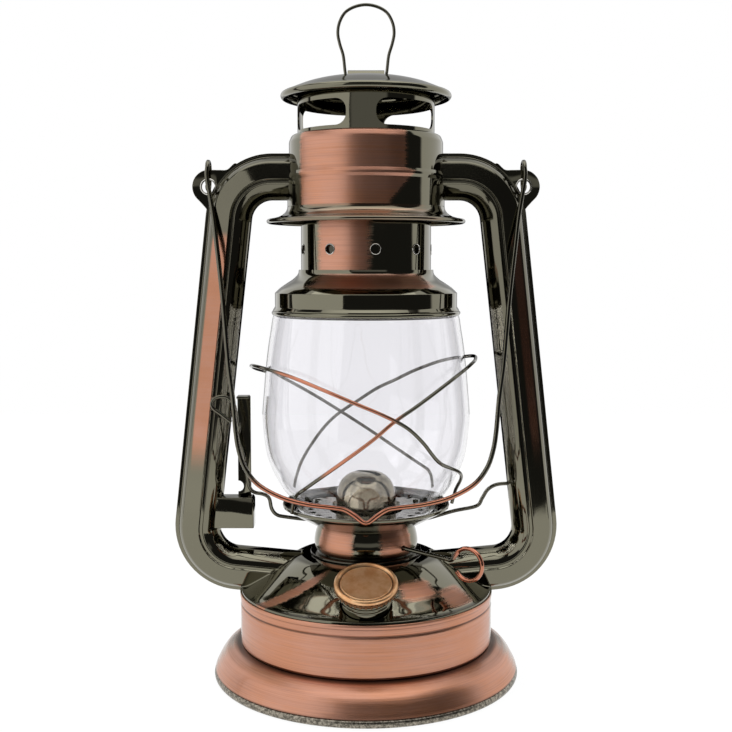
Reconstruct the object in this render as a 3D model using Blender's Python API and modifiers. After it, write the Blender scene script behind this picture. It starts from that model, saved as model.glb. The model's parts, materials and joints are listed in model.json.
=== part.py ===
"""Hurricane lantern: fount, side tubes, burner, globe carrier, chimney and bail.

Metres, +Z up. The origin is the centre of the base where it stands on the
table, and -Y is the lantern's front, the side with the filler cap.
"""
import math

import bmesh
import bpy
from mathutils import Matrix, Vector

MM = 0.001

# Shared sizes
GAP = 0.3 * MM            # clearance between pieces that touch
SHEET = 0.8 * MM          # pressed steel sheet
TURN_STEPS = 24           # segments round a turned piece
MERGE = 0.001 * MM        # merge distance of seams and poles
OVERRUN = 2.0 * MM        # how far a cutter runs past what it cuts

# Base and fount
BASE_R = 70.2 * MM
BASE_EDGE_H = 3.6 * MM
FOOT_W = 2.8 * MM
SKIRT_H = 15.4 * MM
SKIRT_LEDGE = 5.0 * MM
BASE_PLATE_Z = 2.2 * MM
BODY_R = 58.0 * MM
BODY_H = 21.4 * MM
GROOVE_DEPTH = 0.5 * MM
GROOVE_DROP = 2.9 * MM
SEAM_H = 2.0 * MM
SEAM_STAND = 0.5 * MM
DOME_RISE = 16.3 * MM
DOME_HOLE_R = 19.5 * MM

# Burner
NECK_R = 23.9 * MM
NECK_H = 15.2 * MM
NECK_FLANGE = 1.8 * MM
NECK_LIP_R = 14.0 * MM
CONE_R = 14.6 * MM
CONE_H = 21.7 * MM
CONE_SLOT_W = 15.6 * MM
CONE_SLOT_T = 3.6 * MM
WICK_W = 12.7 * MM
WICK_T = 1.8 * MM
WICK_BELOW = 21.4 * MM
WICK_TIP_DROP = 2.5 * MM
WICK_TUBE_WALL = 0.6 * MM
WICK_TUBE_BELOW = 10.0 * MM
WICK_TUBE_ABOVE = 15.0 * MM
WHEEL_R = 2.8 * MM
WHEEL_L = 7.0 * MM
WHEEL_RISE = 6.9 * MM
KNOB_WIRE_R = 0.95 * MM
KNOB_REACH = 50.0 * MM
KNOB_EYE_R = 7.0 * MM
KNOB_TURN_DEG = 35.5
KNOB_DROP_DEG = 3.76
EYE_OPEN_DEG = 40.0

# Filler
FILLER_REACH = 46.3 * MM
FILLER_SINK = 6.0 * MM
FILLER_TILT_DEG = 23.0
FILLER_R = 10.6 * MM
FILLER_WALL = 1.0 * MM
FILLER_BELOW = 3.5 * MM
FILLER_ABOVE = 8.0 * MM
THREAD_STAND = 0.5 * MM
THREAD_PITCH = 1.7 * MM
THREAD_COUNT = 3
GASKET_T = 1.0 * MM
FILLER_CAP_R = 13.5 * MM
FILLER_CAP_H = 3.8 * MM
FILLER_CAP_TOP_T = 1.4 * MM
FILLER_RECESS = 0.5 * MM
KNURL_DEPTH = 0.35 * MM
KNURL_COUNT = 28

# Globe carrier
PLATE_R = 38.5 * MM
PLATE_DEPTH = 8.7 * MM
PLATE_HOLE_R = 21.6 * MM
SEAT_R = 33.3 * MM
SEAT_HOLE_R = 16.4 * MM
SEAT_H = 5.1 * MM
SEAT_VENT_R = 1.5 * MM
SEAT_VENT_RING_R = 24.5 * MM
SEAT_VENTS = 12
SEAT_VENT_TURN_DEG = 5.0
GLOBE_FOOT_R = 31.8 * MM
GLOBE_R = 47.4 * MM
GLOBE_TOP_R = 38.6 * MM
GLOBE_H = 100.0 * MM
GLASS_T = 1.8 * MM
GUARD_WIRE_R = 0.8 * MM
GUARD_R = 52.2 * MM
GUARD_H = 66.0 * MM
LIFT_WIRE_R = 0.85 * MM
LIFT_LOOP_W = 11.0 * MM
LIFT_LOOP_H = 11.6 * MM
LIFT_LOOP_RISE = 47.0 * MM
LIFT_LOOP_FRONT = 12.2 * MM
STRIP_W = 6.0 * MM
STRIP_T = 1.0 * MM
STRIP_L = 60.4 * MM
STRIP_TAB = 7.0 * MM
STRIP_NOTCH_R = 2.6 * MM
STRIP_X = 56.0 * MM
BRACKET_H = 14.2 * MM
BRACKET_FRONT = 6.0 * MM
BRACKET_BACK = 3.0 * MM
BRACKET_WALL = 1.2 * MM
CARRIER_TRAVEL = 12.0 * MM

# Chimney
BELL_R = 42.9 * MM
BELL_BAND_R = 41.4 * MM
BELL_OVERLAP = 11.4 * MM
BELL_H = 20.4 * MM
BELL_ROLL_R = 0.9 * MM
CHIMNEY_R = 29.4 * MM
CHIMNEY_TUCK = 1.9 * MM
CHIMNEY_SHOW = 20.6 * MM
VENT_HOLE_R = 2.2 * MM
VENT_HOLES = 9
VENT_TURN_DEG = 8.0
VENT_RISE = 9.0 * MM
CAGE_WALL = 1.0 * MM
CAGE_LAP = 1.7 * MM
CAGE_H = 22.2 * MM
CAGE_SLOTS = 4
CAGE_SLOT_DEG = 64.0
CAGE_SLOT_H = 11.2 * MM
CAGE_SLOT_RISE = 3.4 * MM
CAGE_TURN_DEG = 41.0
CAP_R = 38.3 * MM
CAP_H = 9.9 * MM
CAP_OVERHANG = 4.7 * MM
CAP_ROLL_R = 1.2 * MM
STRAP_L = 16.4 * MM
STRAP_W = 12.0 * MM
STRAP_T = 0.8 * MM
RING_WIRE_R = 0.7 * MM
RING_FOOT_W = 18.6 * MM
RING_H = 31.0 * MM

# Drum
DRUM_R = 34.6 * MM
DRUM_H = 34.0 * MM
DRUM_HOLE_R = 31.2 * MM
DRUM_BEAD = 0.5 * MM
DRUM_RIM_R = 44.85 * MM
DRUM_ROLL_R = 1.0 * MM
DRUM_SKIRT_H = 7.4 * MM
DRUM_FOOT_RISE = 5.2 * MM
BAFFLE_RISE = 1.5 * MM

# Side tubes
TUBE_R = 9.6 * MM
TUBE_TOP_X = 59.2 * MM
TUBE_FOOT_X = 79.0 * MM
TUBE_TOP_BEND_R = 19.0 * MM
TUBE_FOOT_BEND_R = 19.0 * MM
TUBE_BELOW_DRUM_TOP = 19.0 * MM
TUBE_ABOVE_SEAM = 11.6 * MM
TUBE_FOOT_DROP = 4.8 * MM
TUBE_SINK = 30.0 * MM
SEAM_FLANGE = 1.8 * MM
FLANGE_T = 0.9 * MM
EAR_R = 7.0 * MM
EAR_OUT = 11.9 * MM
EAR_DROP = 3.5 * MM
EYELET_HOLE_R = 2.85 * MM
EYELET_R = 3.9 * MM
EYELET_WALL = 0.45 * MM
GUIDE_SLOT_W = 3.0 * MM

# Bail
BAIL_WIRE_R = 1.05 * MM
BAIL_CLEAR = 0.45 * MM    # in front of what the bow hangs before
BAIL_L = 155.2 * MM
BAIL_EYE_W = 7.2 * MM
BAIL_EYE_L = 12.6 * MM
BAIL_W = 138.8 * MM

# Levels above the table, worked out from the sizes
BODY_FOOT = SKIRT_H + GAP
BODY_TOP = BODY_FOOT + BODY_H
SEAM_FOOT = BODY_TOP + GAP
SEAM_TOP = SEAM_FOOT + SEAM_H
DOME_FOOT = SEAM_TOP + GAP
DOME_TOP = DOME_FOOT + DOME_RISE
NECK_FOOT = DOME_TOP + GAP
NECK_TOP = NECK_FOOT + NECK_H
CONE_FOOT = NECK_TOP + GAP
SEAT_FOOT = NECK_TOP + GAP
SEAT_TOP = SEAT_FOOT + SEAT_H
GLOBE_FOOT = SEAT_TOP + GAP
GLOBE_TOP = GLOBE_FOOT + GLOBE_H
BELL_FOOT = GLOBE_TOP - BELL_OVERLAP
BELL_TOP = BELL_FOOT + BELL_H
CHIMNEY_FOOT = BELL_TOP - CHIMNEY_TUCK
DRUM_RIM_Z = BELL_TOP + CHIMNEY_SHOW
DRUM_FOOT = DRUM_RIM_Z + DRUM_FOOT_RISE
DRUM_TOP = DRUM_FOOT + DRUM_H
CHIMNEY_TOP = DRUM_TOP
CAGE_FOOT = CHIMNEY_TOP - CAGE_LAP
CAGE_R = CHIMNEY_R + GAP + CAGE_WALL
CAGE_TOP = CAGE_FOOT + CAGE_H
CAP_FOOT = CAGE_TOP - CAP_OVERHANG
CAP_TOP = CAP_FOOT + CAP_H
TUBE_TOP_Z = DRUM_TOP - TUBE_BELOW_DRUM_TOP
TUBE_FOOT_Z = SEAM_TOP + TUBE_ABOVE_SEAM
RING_AXIS_Z = CAP_TOP + GAP + RING_WIRE_R
EAR_X = TUBE_TOP_X + EAR_OUT
EAR_Z = TUBE_TOP_Z - EAR_DROP
EAR_WEB = EAR_R - EYELET_HOLE_R
BAIL_AXIS_Z = EAR_Z + EYELET_HOLE_R + EAR_WEB / 2


class Finish:
    """Colours of the lantern's finishes, as linear RGB."""

    COPPER = ("brushed_copper", (0.45, 0.17, 0.09), 0.32, 1.0)
    GUNMETAL = ("black_nickel", (0.075, 0.07, 0.06), 0.16, 1.0)
    BRASS = ("filler_copper", (0.62, 0.26, 0.10), 0.30, 1.0)
    STEEL = ("burner_steel", (0.35, 0.33, 0.30), 0.35, 1.0)
    GLASS = ("clear_glass", (0.90, 0.90, 0.93), 0.04, 0.0)
    COTTON = ("wick_cotton", (0.80, 0.77, 0.70), 0.9, 0.0)
    RUBBER = ("gasket_rubber", (0.03, 0.03, 0.03), 0.7, 0.0)


def clear_scene():
    for obj in list(bpy.data.objects):
        bpy.data.objects.remove(obj, do_unlink=True)


def new_collection(name):
    group = bpy.data.collections.new(name)
    bpy.context.scene.collection.children.link(group)
    return group


def material(finish):
    name, colour, roughness, metallic = finish
    found = bpy.data.materials.get(name)
    if found:
        return found
    made = bpy.data.materials.new(name)
    made.use_nodes = True
    shader = made.node_tree.nodes["Principled BSDF"]
    shader.inputs["Base Color"].default_value = (*colour, 1.0)
    shader.inputs["Roughness"].default_value = roughness
    shader.inputs["Metallic"].default_value = metallic
    if finish is Finish.GLASS:
        shader.inputs["Transmission Weight"].default_value = 1.0
    return made


def mesh_object(name, mesh, finish=None):
    """Object for a mesh, in the parts' collection, or a cutter if it has no finish."""
    obj = bpy.data.objects.new(name, mesh)
    if finish:
        PARTS.objects.link(obj)
        mesh.materials.append(material(finish))
    else:
        CUTTERS.objects.link(obj)
        obj.hide_render = True
        obj.display_type = "WIRE"
    return obj


def smooth(obj, angle=math.radians(35)):
    obj.data.shade_smooth()
    obj.data.set_sharp_from_angle(angle=angle)


def lerp(low, high, share):
    return low + (high - low) * share


def outline(radii, heights, shares):
    """Outline points from shares of a radius range and of a height range."""
    return [(lerp(*radii, r), lerp(*heights, z)) for r, z in shares]


def curl(centre_r, centre_z, radius, start_deg, end_deg, steps=2):
    """Points of a rolled edge in the turning plane."""
    angles = [math.radians(lerp(start_deg, end_deg, i / steps)) for i in range(steps + 1)]
    return [(centre_r + radius * math.cos(a), centre_z + radius * math.sin(a)) for a in angles]


def turned(name, points, finish=None, wall=None, steps=TURN_STEPS):
    """Turned piece: an outline down its outer side with a wall, or a closed section."""
    mesh = bpy.data.meshes.new(name)
    edges = [(i, i + 1) for i in range(len(points) - 1)]
    on_axis = points[0][0] == 0 and points[-1][0] == 0
    if wall is None and not on_axis:
        edges.append((len(points) - 1, 0))
    mesh.from_pydata([(r, 0, z) for r, z in points], edges, [])
    obj = mesh_object(name, mesh, finish)
    screw = obj.modifiers.new("Turn", "SCREW")
    screw.axis = "Z"
    screw.steps = steps
    screw.render_steps = steps
    screw.use_merge_vertices = True
    screw.merge_threshold = MERGE
    screw.use_smooth_shade = True
    if wall is not None:
        shell = obj.modifiers.new("Sheet", "SOLIDIFY")
        shell.thickness = wall
        shell.offset = -1
        shell.use_even_offset = True
    return obj


def to_mesh(obj):
    """Replace an object by the mesh it evaluates to, with its seams merged."""
    bpy.context.view_layer.update()
    depsgraph = bpy.context.evaluated_depsgraph_get()
    mesh = bpy.data.meshes.new_from_object(obj.evaluated_get(depsgraph))
    name = obj.name
    matrix = obj.matrix_world.copy()
    group = obj.users_collection[0]
    hidden = obj.hide_render
    bpy.data.objects.remove(obj, do_unlink=True)
    work = bmesh.new()
    work.from_mesh(mesh)
    bmesh.ops.remove_doubles(work, verts=work.verts, dist=MERGE)
    work.to_mesh(mesh)
    work.free()
    made = bpy.data.objects.new(name, mesh)
    made.matrix_world = matrix
    group.objects.link(made)
    if hidden:
        made.hide_render = True
        made.display_type = "WIRE"
    return made


def boolean(obj, other, operation="DIFFERENCE"):
    mod = obj.modifiers.new(operation.title(), "BOOLEAN")
    mod.operation = operation
    mod.object = other
    return mod


def absorb(obj, other):
    """Join another solid to this one as one body, and remove it."""
    boolean(obj, other, "UNION")
    joined = to_mesh(obj)
    bpy.data.objects.remove(other, do_unlink=True)
    return joined


def box(name, centre, size, finish=None):
    mesh = bpy.data.meshes.new(name)
    work = bmesh.new()
    bmesh.ops.create_cube(work, size=1.0)
    bmesh.ops.scale(work, vec=Vector(size), verts=work.verts)
    work.to_mesh(mesh)
    work.free()
    obj = mesh_object(name, mesh, finish)
    obj.location = centre
    return obj


def rod(name, start, end, radius, finish=None, sides=16):
    """Straight round bar between two points."""
    start = Vector(start)
    end = Vector(end)
    mesh = bpy.data.meshes.new(name)
    work = bmesh.new()
    bmesh.ops.create_cone(work, cap_ends=True, segments=sides, radius1=radius,
                          radius2=radius, depth=(end - start).length)
    work.to_mesh(mesh)
    work.free()
    obj = mesh_object(name, mesh, finish)
    turn = (end - start).to_track_quat("Z", "Y").to_matrix().to_4x4()
    obj.matrix_world = Matrix.Translation((start + end) / 2) @ turn
    return obj


def wire(name, points, radius, finish=None, cyclic=False, resolution=1, caps=True):
    """Round wire or tube along its points."""
    data = bpy.data.curves.new(name, "CURVE")
    data.dimensions = "3D"
    data.bevel_depth = radius
    data.bevel_resolution = resolution
    data.use_fill_caps = caps
    spline = data.splines.new("POLY")
    spline.points.add(len(points) - 1)
    for slot, point in zip(spline.points, points):
        slot.co = (*point, 1.0)
    spline.use_cyclic_u = cyclic
    obj = bpy.data.objects.new(name, data)
    if finish:
        data.materials.append(material(finish))
        PARTS.objects.link(obj)
    else:
        CUTTERS.objects.link(obj)
        obj.hide_render = True
        obj.display_type = "WIRE"
    return obj


def catmull(points, closed=False):
    """Smooth curve through the points, as a function of 0 to the number of spans."""
    points = [Vector(p) for p in points]
    count = len(points)

    def at(index):
        if closed:
            return points[index % count]
        return points[min(max(index, 0), count - 1)]

    def curve(place):
        index = min(int(place), (count if closed else count - 1) - 1)
        t = place - index
        a, b, c, d = (at(index + k) for k in (-1, 0, 1, 2))
        return 0.5 * ((2 * b) + (c - a) * t + (2 * a - 5 * b + 4 * c - d) * t ** 2
                      + (3 * b - 3 * c + d - a) * t ** 3)

    return curve


def smooth_route(points, spacing, closed=False, fine=24):
    """Evenly spaced points along the smooth curve through the given ones."""
    curve = catmull(points, closed)
    spans = len(points) if closed else len(points) - 1
    dense = [curve(i / fine) for i in range(spans * fine + 1)]
    lengths = [0.0]
    for before, after in zip(dense, dense[1:]):
        lengths.append(lengths[-1] + (after - before).length)
    count = max(round(lengths[-1] / spacing), 4)
    route = []
    index = 0
    for step in range(count + (0 if closed else 1)):
        wanted = lengths[-1] * step / count
        while index < len(lengths) - 2 and lengths[index + 1] < wanted:
            index += 1
        span = lengths[index + 1] - lengths[index]
        share = (wanted - lengths[index]) / span
        route.append(dense[index].lerp(dense[index + 1], min(share, 1.0)))
    return route


def filleted(points, radii, steps=6):
    """Polyline in X and Z with its inner corners rounded to the given radii."""
    corners = [Vector(p) for p in points]
    route = [corners[0]]
    for before, corner, after, radius in zip(corners, corners[1:], corners[2:], radii):
        one = (before - corner).normalized()
        two = (after - corner).normalized()
        half = one.angle(two) / 2
        centre = corner + (one + two).normalized() * (radius / math.sin(half))
        start = corner + one * (radius / math.tan(half)) - centre
        end = corner + two * (radius / math.tan(half)) - centre
        sweep = start.angle(end)
        for i in range(steps + 1):
            t = i / steps
            blend = (math.sin((1 - t) * sweep) * start + math.sin(t * sweep) * end) / math.sin(sweep)
            route.append(centre + blend)
    route.append(corners[-1])
    return route


# Base and fount

def base_skirt():
    """Flared foot with a flat rolled edge and a ledge that carries the fount."""
    flare_shares = ((0.0, 0.99), (0.24, 0.93), (0.51, 0.765), (0.68, 0.56), (0.815, 0.32), (1.0, 0.0))
    ledge = [(BODY_R - SKIRT_LEDGE, SKIRT_H), (BODY_R, SKIRT_H)]
    flare = outline((BODY_R + SHEET / 2, BASE_R), (BASE_EDGE_H, SKIRT_H), flare_shares)
    foot = [(BASE_R, SHEET / 2), (BASE_R - SHEET / 2, 0.0),
            (BASE_R - FOOT_W, 0.0), (BASE_R - FOOT_W, 2 * SHEET)]
    return turned("base_skirt", ledge + flare + foot, Finish.COPPER, SHEET)


def base_plate():
    """Pan that closes the underside, with one pressed step."""
    edge = BASE_R - FOOT_W - GAP
    step_shares = (0.0, 0.42, 0.5, 1.0)
    rises = (1.0, 1.0, 0.0, 0.0)
    points = [(edge * share, BASE_PLATE_Z + SHEET * (1 + rise))
              for share, rise in zip(step_shares, rises)]
    return turned("base_plate", points, Finish.GUNMETAL, SHEET)


def fount_body():
    """Tank wall and floor, pressed in one piece, with a groove under its top edge."""
    groove = BODY_TOP - GROOVE_DROP
    points = [(BODY_R, BODY_TOP), (BODY_R, groove + GROOVE_DEPTH * 2),
              (BODY_R - GROOVE_DEPTH, groove), (BODY_R, groove - GROOVE_DEPTH * 2),
              (BODY_R, BODY_FOOT + SHEET), (BODY_R - SHEET, BODY_FOOT), (0.0, BODY_FOOT)]
    return turned("fount_body", points, Finish.COPPER, SHEET)


def fount_seam():
    """Rolled bead that locks the dome to the tank wall."""
    inner = BODY_R - 2 * SHEET
    outer = BODY_R + SEAM_STAND
    bevel = SEAM_H / 4
    points = [(inner, SEAM_TOP), (outer - bevel, SEAM_TOP), (outer, SEAM_TOP - bevel),
              (outer, SEAM_FOOT + bevel), (outer - bevel, SEAM_FOOT), (inner, SEAM_FOOT)]
    return turned("fount_seam", points, Finish.COPPER)


def filler_frame():
    """Placement of the filler: its foot on the dome and its axis leaning forward."""
    place = Matrix.Translation((0, -FILLER_REACH, DOME_FOOT + FILLER_SINK))
    return place @ Matrix.Rotation(math.radians(FILLER_TILT_DEG), 4, "X")


DOME_SHARES = ((0.0, 1.0), (0.21, 0.994), (0.315, 0.94), (0.407, 0.847), (0.538, 0.675),
               (0.669, 0.485), (0.8, 0.282), (0.919, 0.11), (0.995, 0.05), (1.0, 0.0))


def dome_outline():
    return outline((DOME_HOLE_R, BODY_R - SHEET / 2), (DOME_FOOT, DOME_TOP), DOME_SHARES)


def fount_dome():
    """Top of the tank, open under the burner and at the filler."""
    dome = turned("fount_dome", dome_outline(), Finish.GUNMETAL, SHEET)
    hole = rod("filler_hole", (0, 0, -OVERRUN - FILLER_BELOW), (0, 0, FILLER_ABOVE + OVERRUN),
               FILLER_R + THREAD_STAND + GAP, sides=24)
    hole.matrix_world = filler_frame() @ hole.matrix_world
    boolean(dome, hole)
    return dome


def dome_cutter():
    """Solid of the dome, a gap larger, that trims what stands on it."""
    edge = BODY_R + SEAM_STAND + GAP
    points = [(0.0, DOME_TOP + GAP)]
    points += [(r + GAP, z + GAP) for r, z in dome_outline()[1:]]
    points += [(edge, SEAM_TOP + GAP), (edge, BODY_FOOT), (0.0, BODY_FOOT)]
    return to_mesh(turned("dome_cutter", points))


# Filler

def filler_neck():
    """Threaded neck of the filler."""
    bore = FILLER_R - FILLER_WALL
    points = [(bore, FILLER_ABOVE), (FILLER_R, FILLER_ABOVE)]
    crest = FILLER_R + THREAD_STAND
    top = FILLER_ABOVE - FILLER_CAP_H / 2 + GAP
    for turn in range(THREAD_COUNT):
        z = top - THREAD_PITCH * turn
        points += [(FILLER_R, z), (crest, z - THREAD_PITCH / 4),
                   (crest, z - THREAD_PITCH / 2), (FILLER_R, z - THREAD_PITCH * 3 / 4)]
    points += [(FILLER_R, -FILLER_BELOW), (bore, -FILLER_BELOW)]
    neck = turned("filler_neck", points, Finish.GUNMETAL, steps=20)
    neck.matrix_world = filler_frame()
    return neck


def filler_gasket():
    """Washer between the neck's edge and the cap."""
    low = FILLER_ABOVE + GAP
    points = [(FILLER_R - FILLER_WALL, low + GASKET_T), (FILLER_R, low + GASKET_T),
              (FILLER_R, low), (FILLER_R - FILLER_WALL, low)]
    gasket = turned("filler_gasket", points, Finish.RUBBER, steps=18)
    gasket.matrix_world = filler_frame()
    return gasket


def filler_cap():
    """Screw cap with a recessed top and a knurled skirt."""
    under = FILLER_ABOVE + GAP + GASKET_T + GAP
    top = under + FILLER_CAP_TOP_T
    foot = top - FILLER_CAP_H
    bore = FILLER_R + THREAD_STAND + GAP
    rim = lerp(bore, FILLER_CAP_R, 0.15)
    points = [(0.0, top - FILLER_RECESS), (rim - FILLER_RECESS, top - FILLER_RECESS), (rim, top),
              (FILLER_CAP_R - KNURL_DEPTH, top), (FILLER_CAP_R, top - KNURL_DEPTH),
              (FILLER_CAP_R, lerp(top, foot, 0.4)), (lerp(bore, FILLER_CAP_R, 0.6), foot),
              (bore, foot), (bore, under), (0.0, under)]
    cap = turned("filler_cap", points, Finish.BRASS, steps=KNURL_COUNT)
    cap.matrix_world = filler_frame()
    return cap


# Burner

def knob_frame():
    """Placement of the wick shaft: local +Z runs out along the shaft from the wick wheel."""
    turn = math.radians(KNOB_TURN_DEG)
    drop = math.radians(KNOB_DROP_DEG)
    out = Vector((math.cos(turn) * math.cos(drop), -math.sin(turn) * math.cos(drop), -math.sin(drop)))
    side = Vector((-math.sin(turn), -math.cos(turn), 0))
    up = out.cross(side)
    place = side * (WICK_T / 2 + GAP + WHEEL_R) + Vector((0, 0, NECK_FOOT + WHEEL_RISE))
    return Matrix.Translation(place) @ Matrix((side, up, out)).transposed().to_4x4()


def wick_frame(z):
    """Placement of flat pieces about the wick: local X runs along the wick's width."""
    return Matrix.Translation((0, 0, z)) @ Matrix.Rotation(math.radians(-KNOB_TURN_DEG), 4, "Z")


def wick_box(name, low, high, width, thick, finish=None):
    piece = box(name, (0, 0, 0), (width, thick, high - low), finish)
    piece.matrix_world = wick_frame((low + high) / 2)
    return piece


NECK_WAIST_SHARE = 0.82   # of the way from the lip's radius to the bulge's, at the neck's foot


def burner_base():
    """Disc on the fount's opening that carries the wick tube."""
    inner_r = lerp(NECK_LIP_R, NECK_R, NECK_WAIST_SHARE) - 2 * SHEET - 2 * GAP
    points = [(0.0, NECK_FOOT + SHEET), (inner_r, NECK_FOOT + SHEET), (inner_r, NECK_FOOT),
              (0.0, NECK_FOOT)]
    disc = turned("burner_base", points, Finish.STEEL, steps=18)
    tube_w = WICK_W + 2 * GAP + 2 * WICK_TUBE_WALL
    tube_t = WICK_T + 2 * GAP + 2 * WICK_TUBE_WALL
    slot = wick_box("burner_base_slot", NECK_FOOT - OVERRUN, NECK_FOOT + SHEET + OVERRUN,
                    tube_w + 2 * GAP, tube_t + 2 * GAP)
    boolean(disc, slot)
    return disc


def burner_neck():
    """Bulged copper neck with a foot flange and an inward top lip."""
    bulge_shares = ((0.0, 1.0), (0.5, 1.0), (0.67, 0.975), (0.79, 0.895), (0.9, 0.71),
                    (0.97, 0.525), (1.0, 0.34), (0.95, 0.16), (NECK_WAIST_SHARE, 0.09))
    points = outline((NECK_LIP_R, NECK_R), (NECK_FOOT, NECK_TOP), bulge_shares)
    points.append((NECK_R + NECK_FLANGE, NECK_FOOT + SHEET))
    neck = turned("burner_neck", points, Finish.COPPER, SHEET, steps=20)
    hole = rod("shaft_hole", (0, 0, WHEEL_L), (0, 0, NECK_R + OVERRUN * 3), KNOB_WIRE_R + GAP, sides=12)
    hole.matrix_world = knob_frame() @ hole.matrix_world
    boolean(neck, hole)
    return neck


def wick_tube():
    """Flat sheath that guides the wick, with a window for the wheel."""
    low = NECK_FOOT - WICK_TUBE_BELOW
    high = NECK_TOP + WICK_TUBE_ABOVE
    bore_w = WICK_W + 2 * GAP
    bore_t = WICK_T + 2 * GAP
    tube = wick_box("wick_tube", low, high, bore_w + 2 * WICK_TUBE_WALL,
                    bore_t + 2 * WICK_TUBE_WALL, Finish.STEEL)
    bore = wick_box("wick_bore", low - OVERRUN, high + OVERRUN, bore_w, bore_t)
    boolean(tube, bore)
    window = rod("wheel_window", (0, 0, -WHEEL_L / 2 - GAP), (0, 0, WHEEL_L / 2 + GAP),
                 WHEEL_R + 2 * GAP, sides=14)
    window.matrix_world = knob_frame() @ window.matrix_world
    boolean(tube, window)
    return tube


def wick():
    """Flat cotton wick from the tank to the flame slot."""
    tip = CONE_FOOT + CONE_H - WICK_TIP_DROP
    return wick_box("wick", NECK_FOOT - WICK_BELOW, tip, WICK_W, WICK_T, Finish.COTTON)


def wick_wheel():
    """Toothed wheel that feeds the wick."""
    wheel = rod("wick_wheel", (0, 0, -WHEEL_L / 2), (0, 0, WHEEL_L / 2), WHEEL_R, Finish.STEEL, 12)
    wheel.matrix_world = knob_frame() @ wheel.matrix_world
    return wheel


def wick_knob():
    """Wire shaft that ends in an open eye to turn by hand."""
    points = [Vector((0, 0, WHEEL_L / 2 + GAP)), Vector((0, 0, KNOB_REACH * 0.5)),
              Vector((0, 0, KNOB_REACH))]
    sweep = 2 * math.pi - math.radians(EYE_OPEN_DEG)
    steps = 16
    for step in range(1, steps + 1):
        angle = sweep * step / steps
        reach = KNOB_EYE_R * (1 - math.cos(angle))
        rise = KNOB_EYE_R * math.sin(angle)
        points.append(Vector((0, -rise, KNOB_REACH + reach)))
    frame = knob_frame()
    return wire("wick_knob", [frame @ p for p in points], KNOB_WIRE_R, Finish.COPPER)


def burner_cone():
    """Domed cap over the flame spreader, slotted for the wick."""
    dome_shares = ((0.0, 1.0), (0.42, 0.985), (0.72, 0.88), (0.88, 0.68), (0.93, 0.38), (1.0, 0.0))
    points = outline((0.0, CONE_R), (CONE_FOOT, CONE_FOOT + CONE_H), dome_shares)
    cone = turned("burner_cone", points, Finish.STEEL, SHEET, steps=22)
    slot = wick_box("flame_slot", CONE_FOOT + CONE_H * 0.7, CONE_FOOT + CONE_H + OVERRUN,
                    CONE_SLOT_W, CONE_SLOT_T)
    boolean(cone, slot)
    return cone


# Globe carrier

def globe_plate():
    """Dish that carries the globe over the burner."""
    rim_z = SEAT_FOOT - 1.5 * SHEET + PLATE_DEPTH
    low_z = rim_z - PLATE_DEPTH
    dish_shares = ((0.95, 0.8), (0.55, 0.4), (0.0, 0.0))
    points = [(PLATE_R - SHEET, rim_z), (PLATE_R, rim_z - SHEET)]
    points += outline((PLATE_HOLE_R + SHEET, PLATE_R), (low_z, rim_z), dish_shares)
    return turned("globe_plate", points, Finish.GUNMETAL, SHEET)


def globe_seat():
    """Perforated disc inside the dish, with a collar that stands on the burner."""
    points = [(SEAT_R, SEAT_TOP - SHEET), (SEAT_R, SEAT_TOP), (SEAT_HOLE_R + SHEET, SEAT_TOP),
              (SEAT_HOLE_R, SEAT_TOP - SHEET), (SEAT_HOLE_R - SHEET / 2, SEAT_FOOT),
              (SEAT_HOLE_R + SHEET / 2, SEAT_FOOT), (SEAT_HOLE_R + SHEET, SEAT_TOP - SHEET)]
    seat = turned("globe_seat", points[::-1], Finish.GUNMETAL)
    for index in range(SEAT_VENTS):
        angle = math.radians(SEAT_VENT_TURN_DEG + 360.0 * index / SEAT_VENTS)
        x = SEAT_VENT_RING_R * math.cos(angle)
        y = SEAT_VENT_RING_R * math.sin(angle)
        vent = rod(f"seat_vent_{index}", (x, y, SEAT_TOP - SHEET - OVERRUN / 2),
                   (x, y, SEAT_TOP + OVERRUN), SEAT_VENT_R, sides=6)
        boolean(seat, vent)
    return seat


def globe():
    """Clear glass chimney, widest below its middle."""
    low_shares = ((0.0, 0.0), (0.24, 0.062), (0.64, 0.157), (0.9, 0.268), (1.0, 0.438))
    high_shares = ((0.91, 0.54), (0.72, 0.71), (0.54, 0.818), (0.2, 0.89), (0.0, 0.96), (0.0, 1.0))
    low = outline((GLOBE_FOOT_R, GLOBE_R), (GLOBE_FOOT, GLOBE_TOP), low_shares)
    high = outline((GLOBE_TOP_R, GLOBE_R), (GLOBE_FOOT, GLOBE_TOP), high_shares)
    points = (low + high)[::-1]
    return turned("globe", points, Finish.GLASS, GLASS_T)


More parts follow.
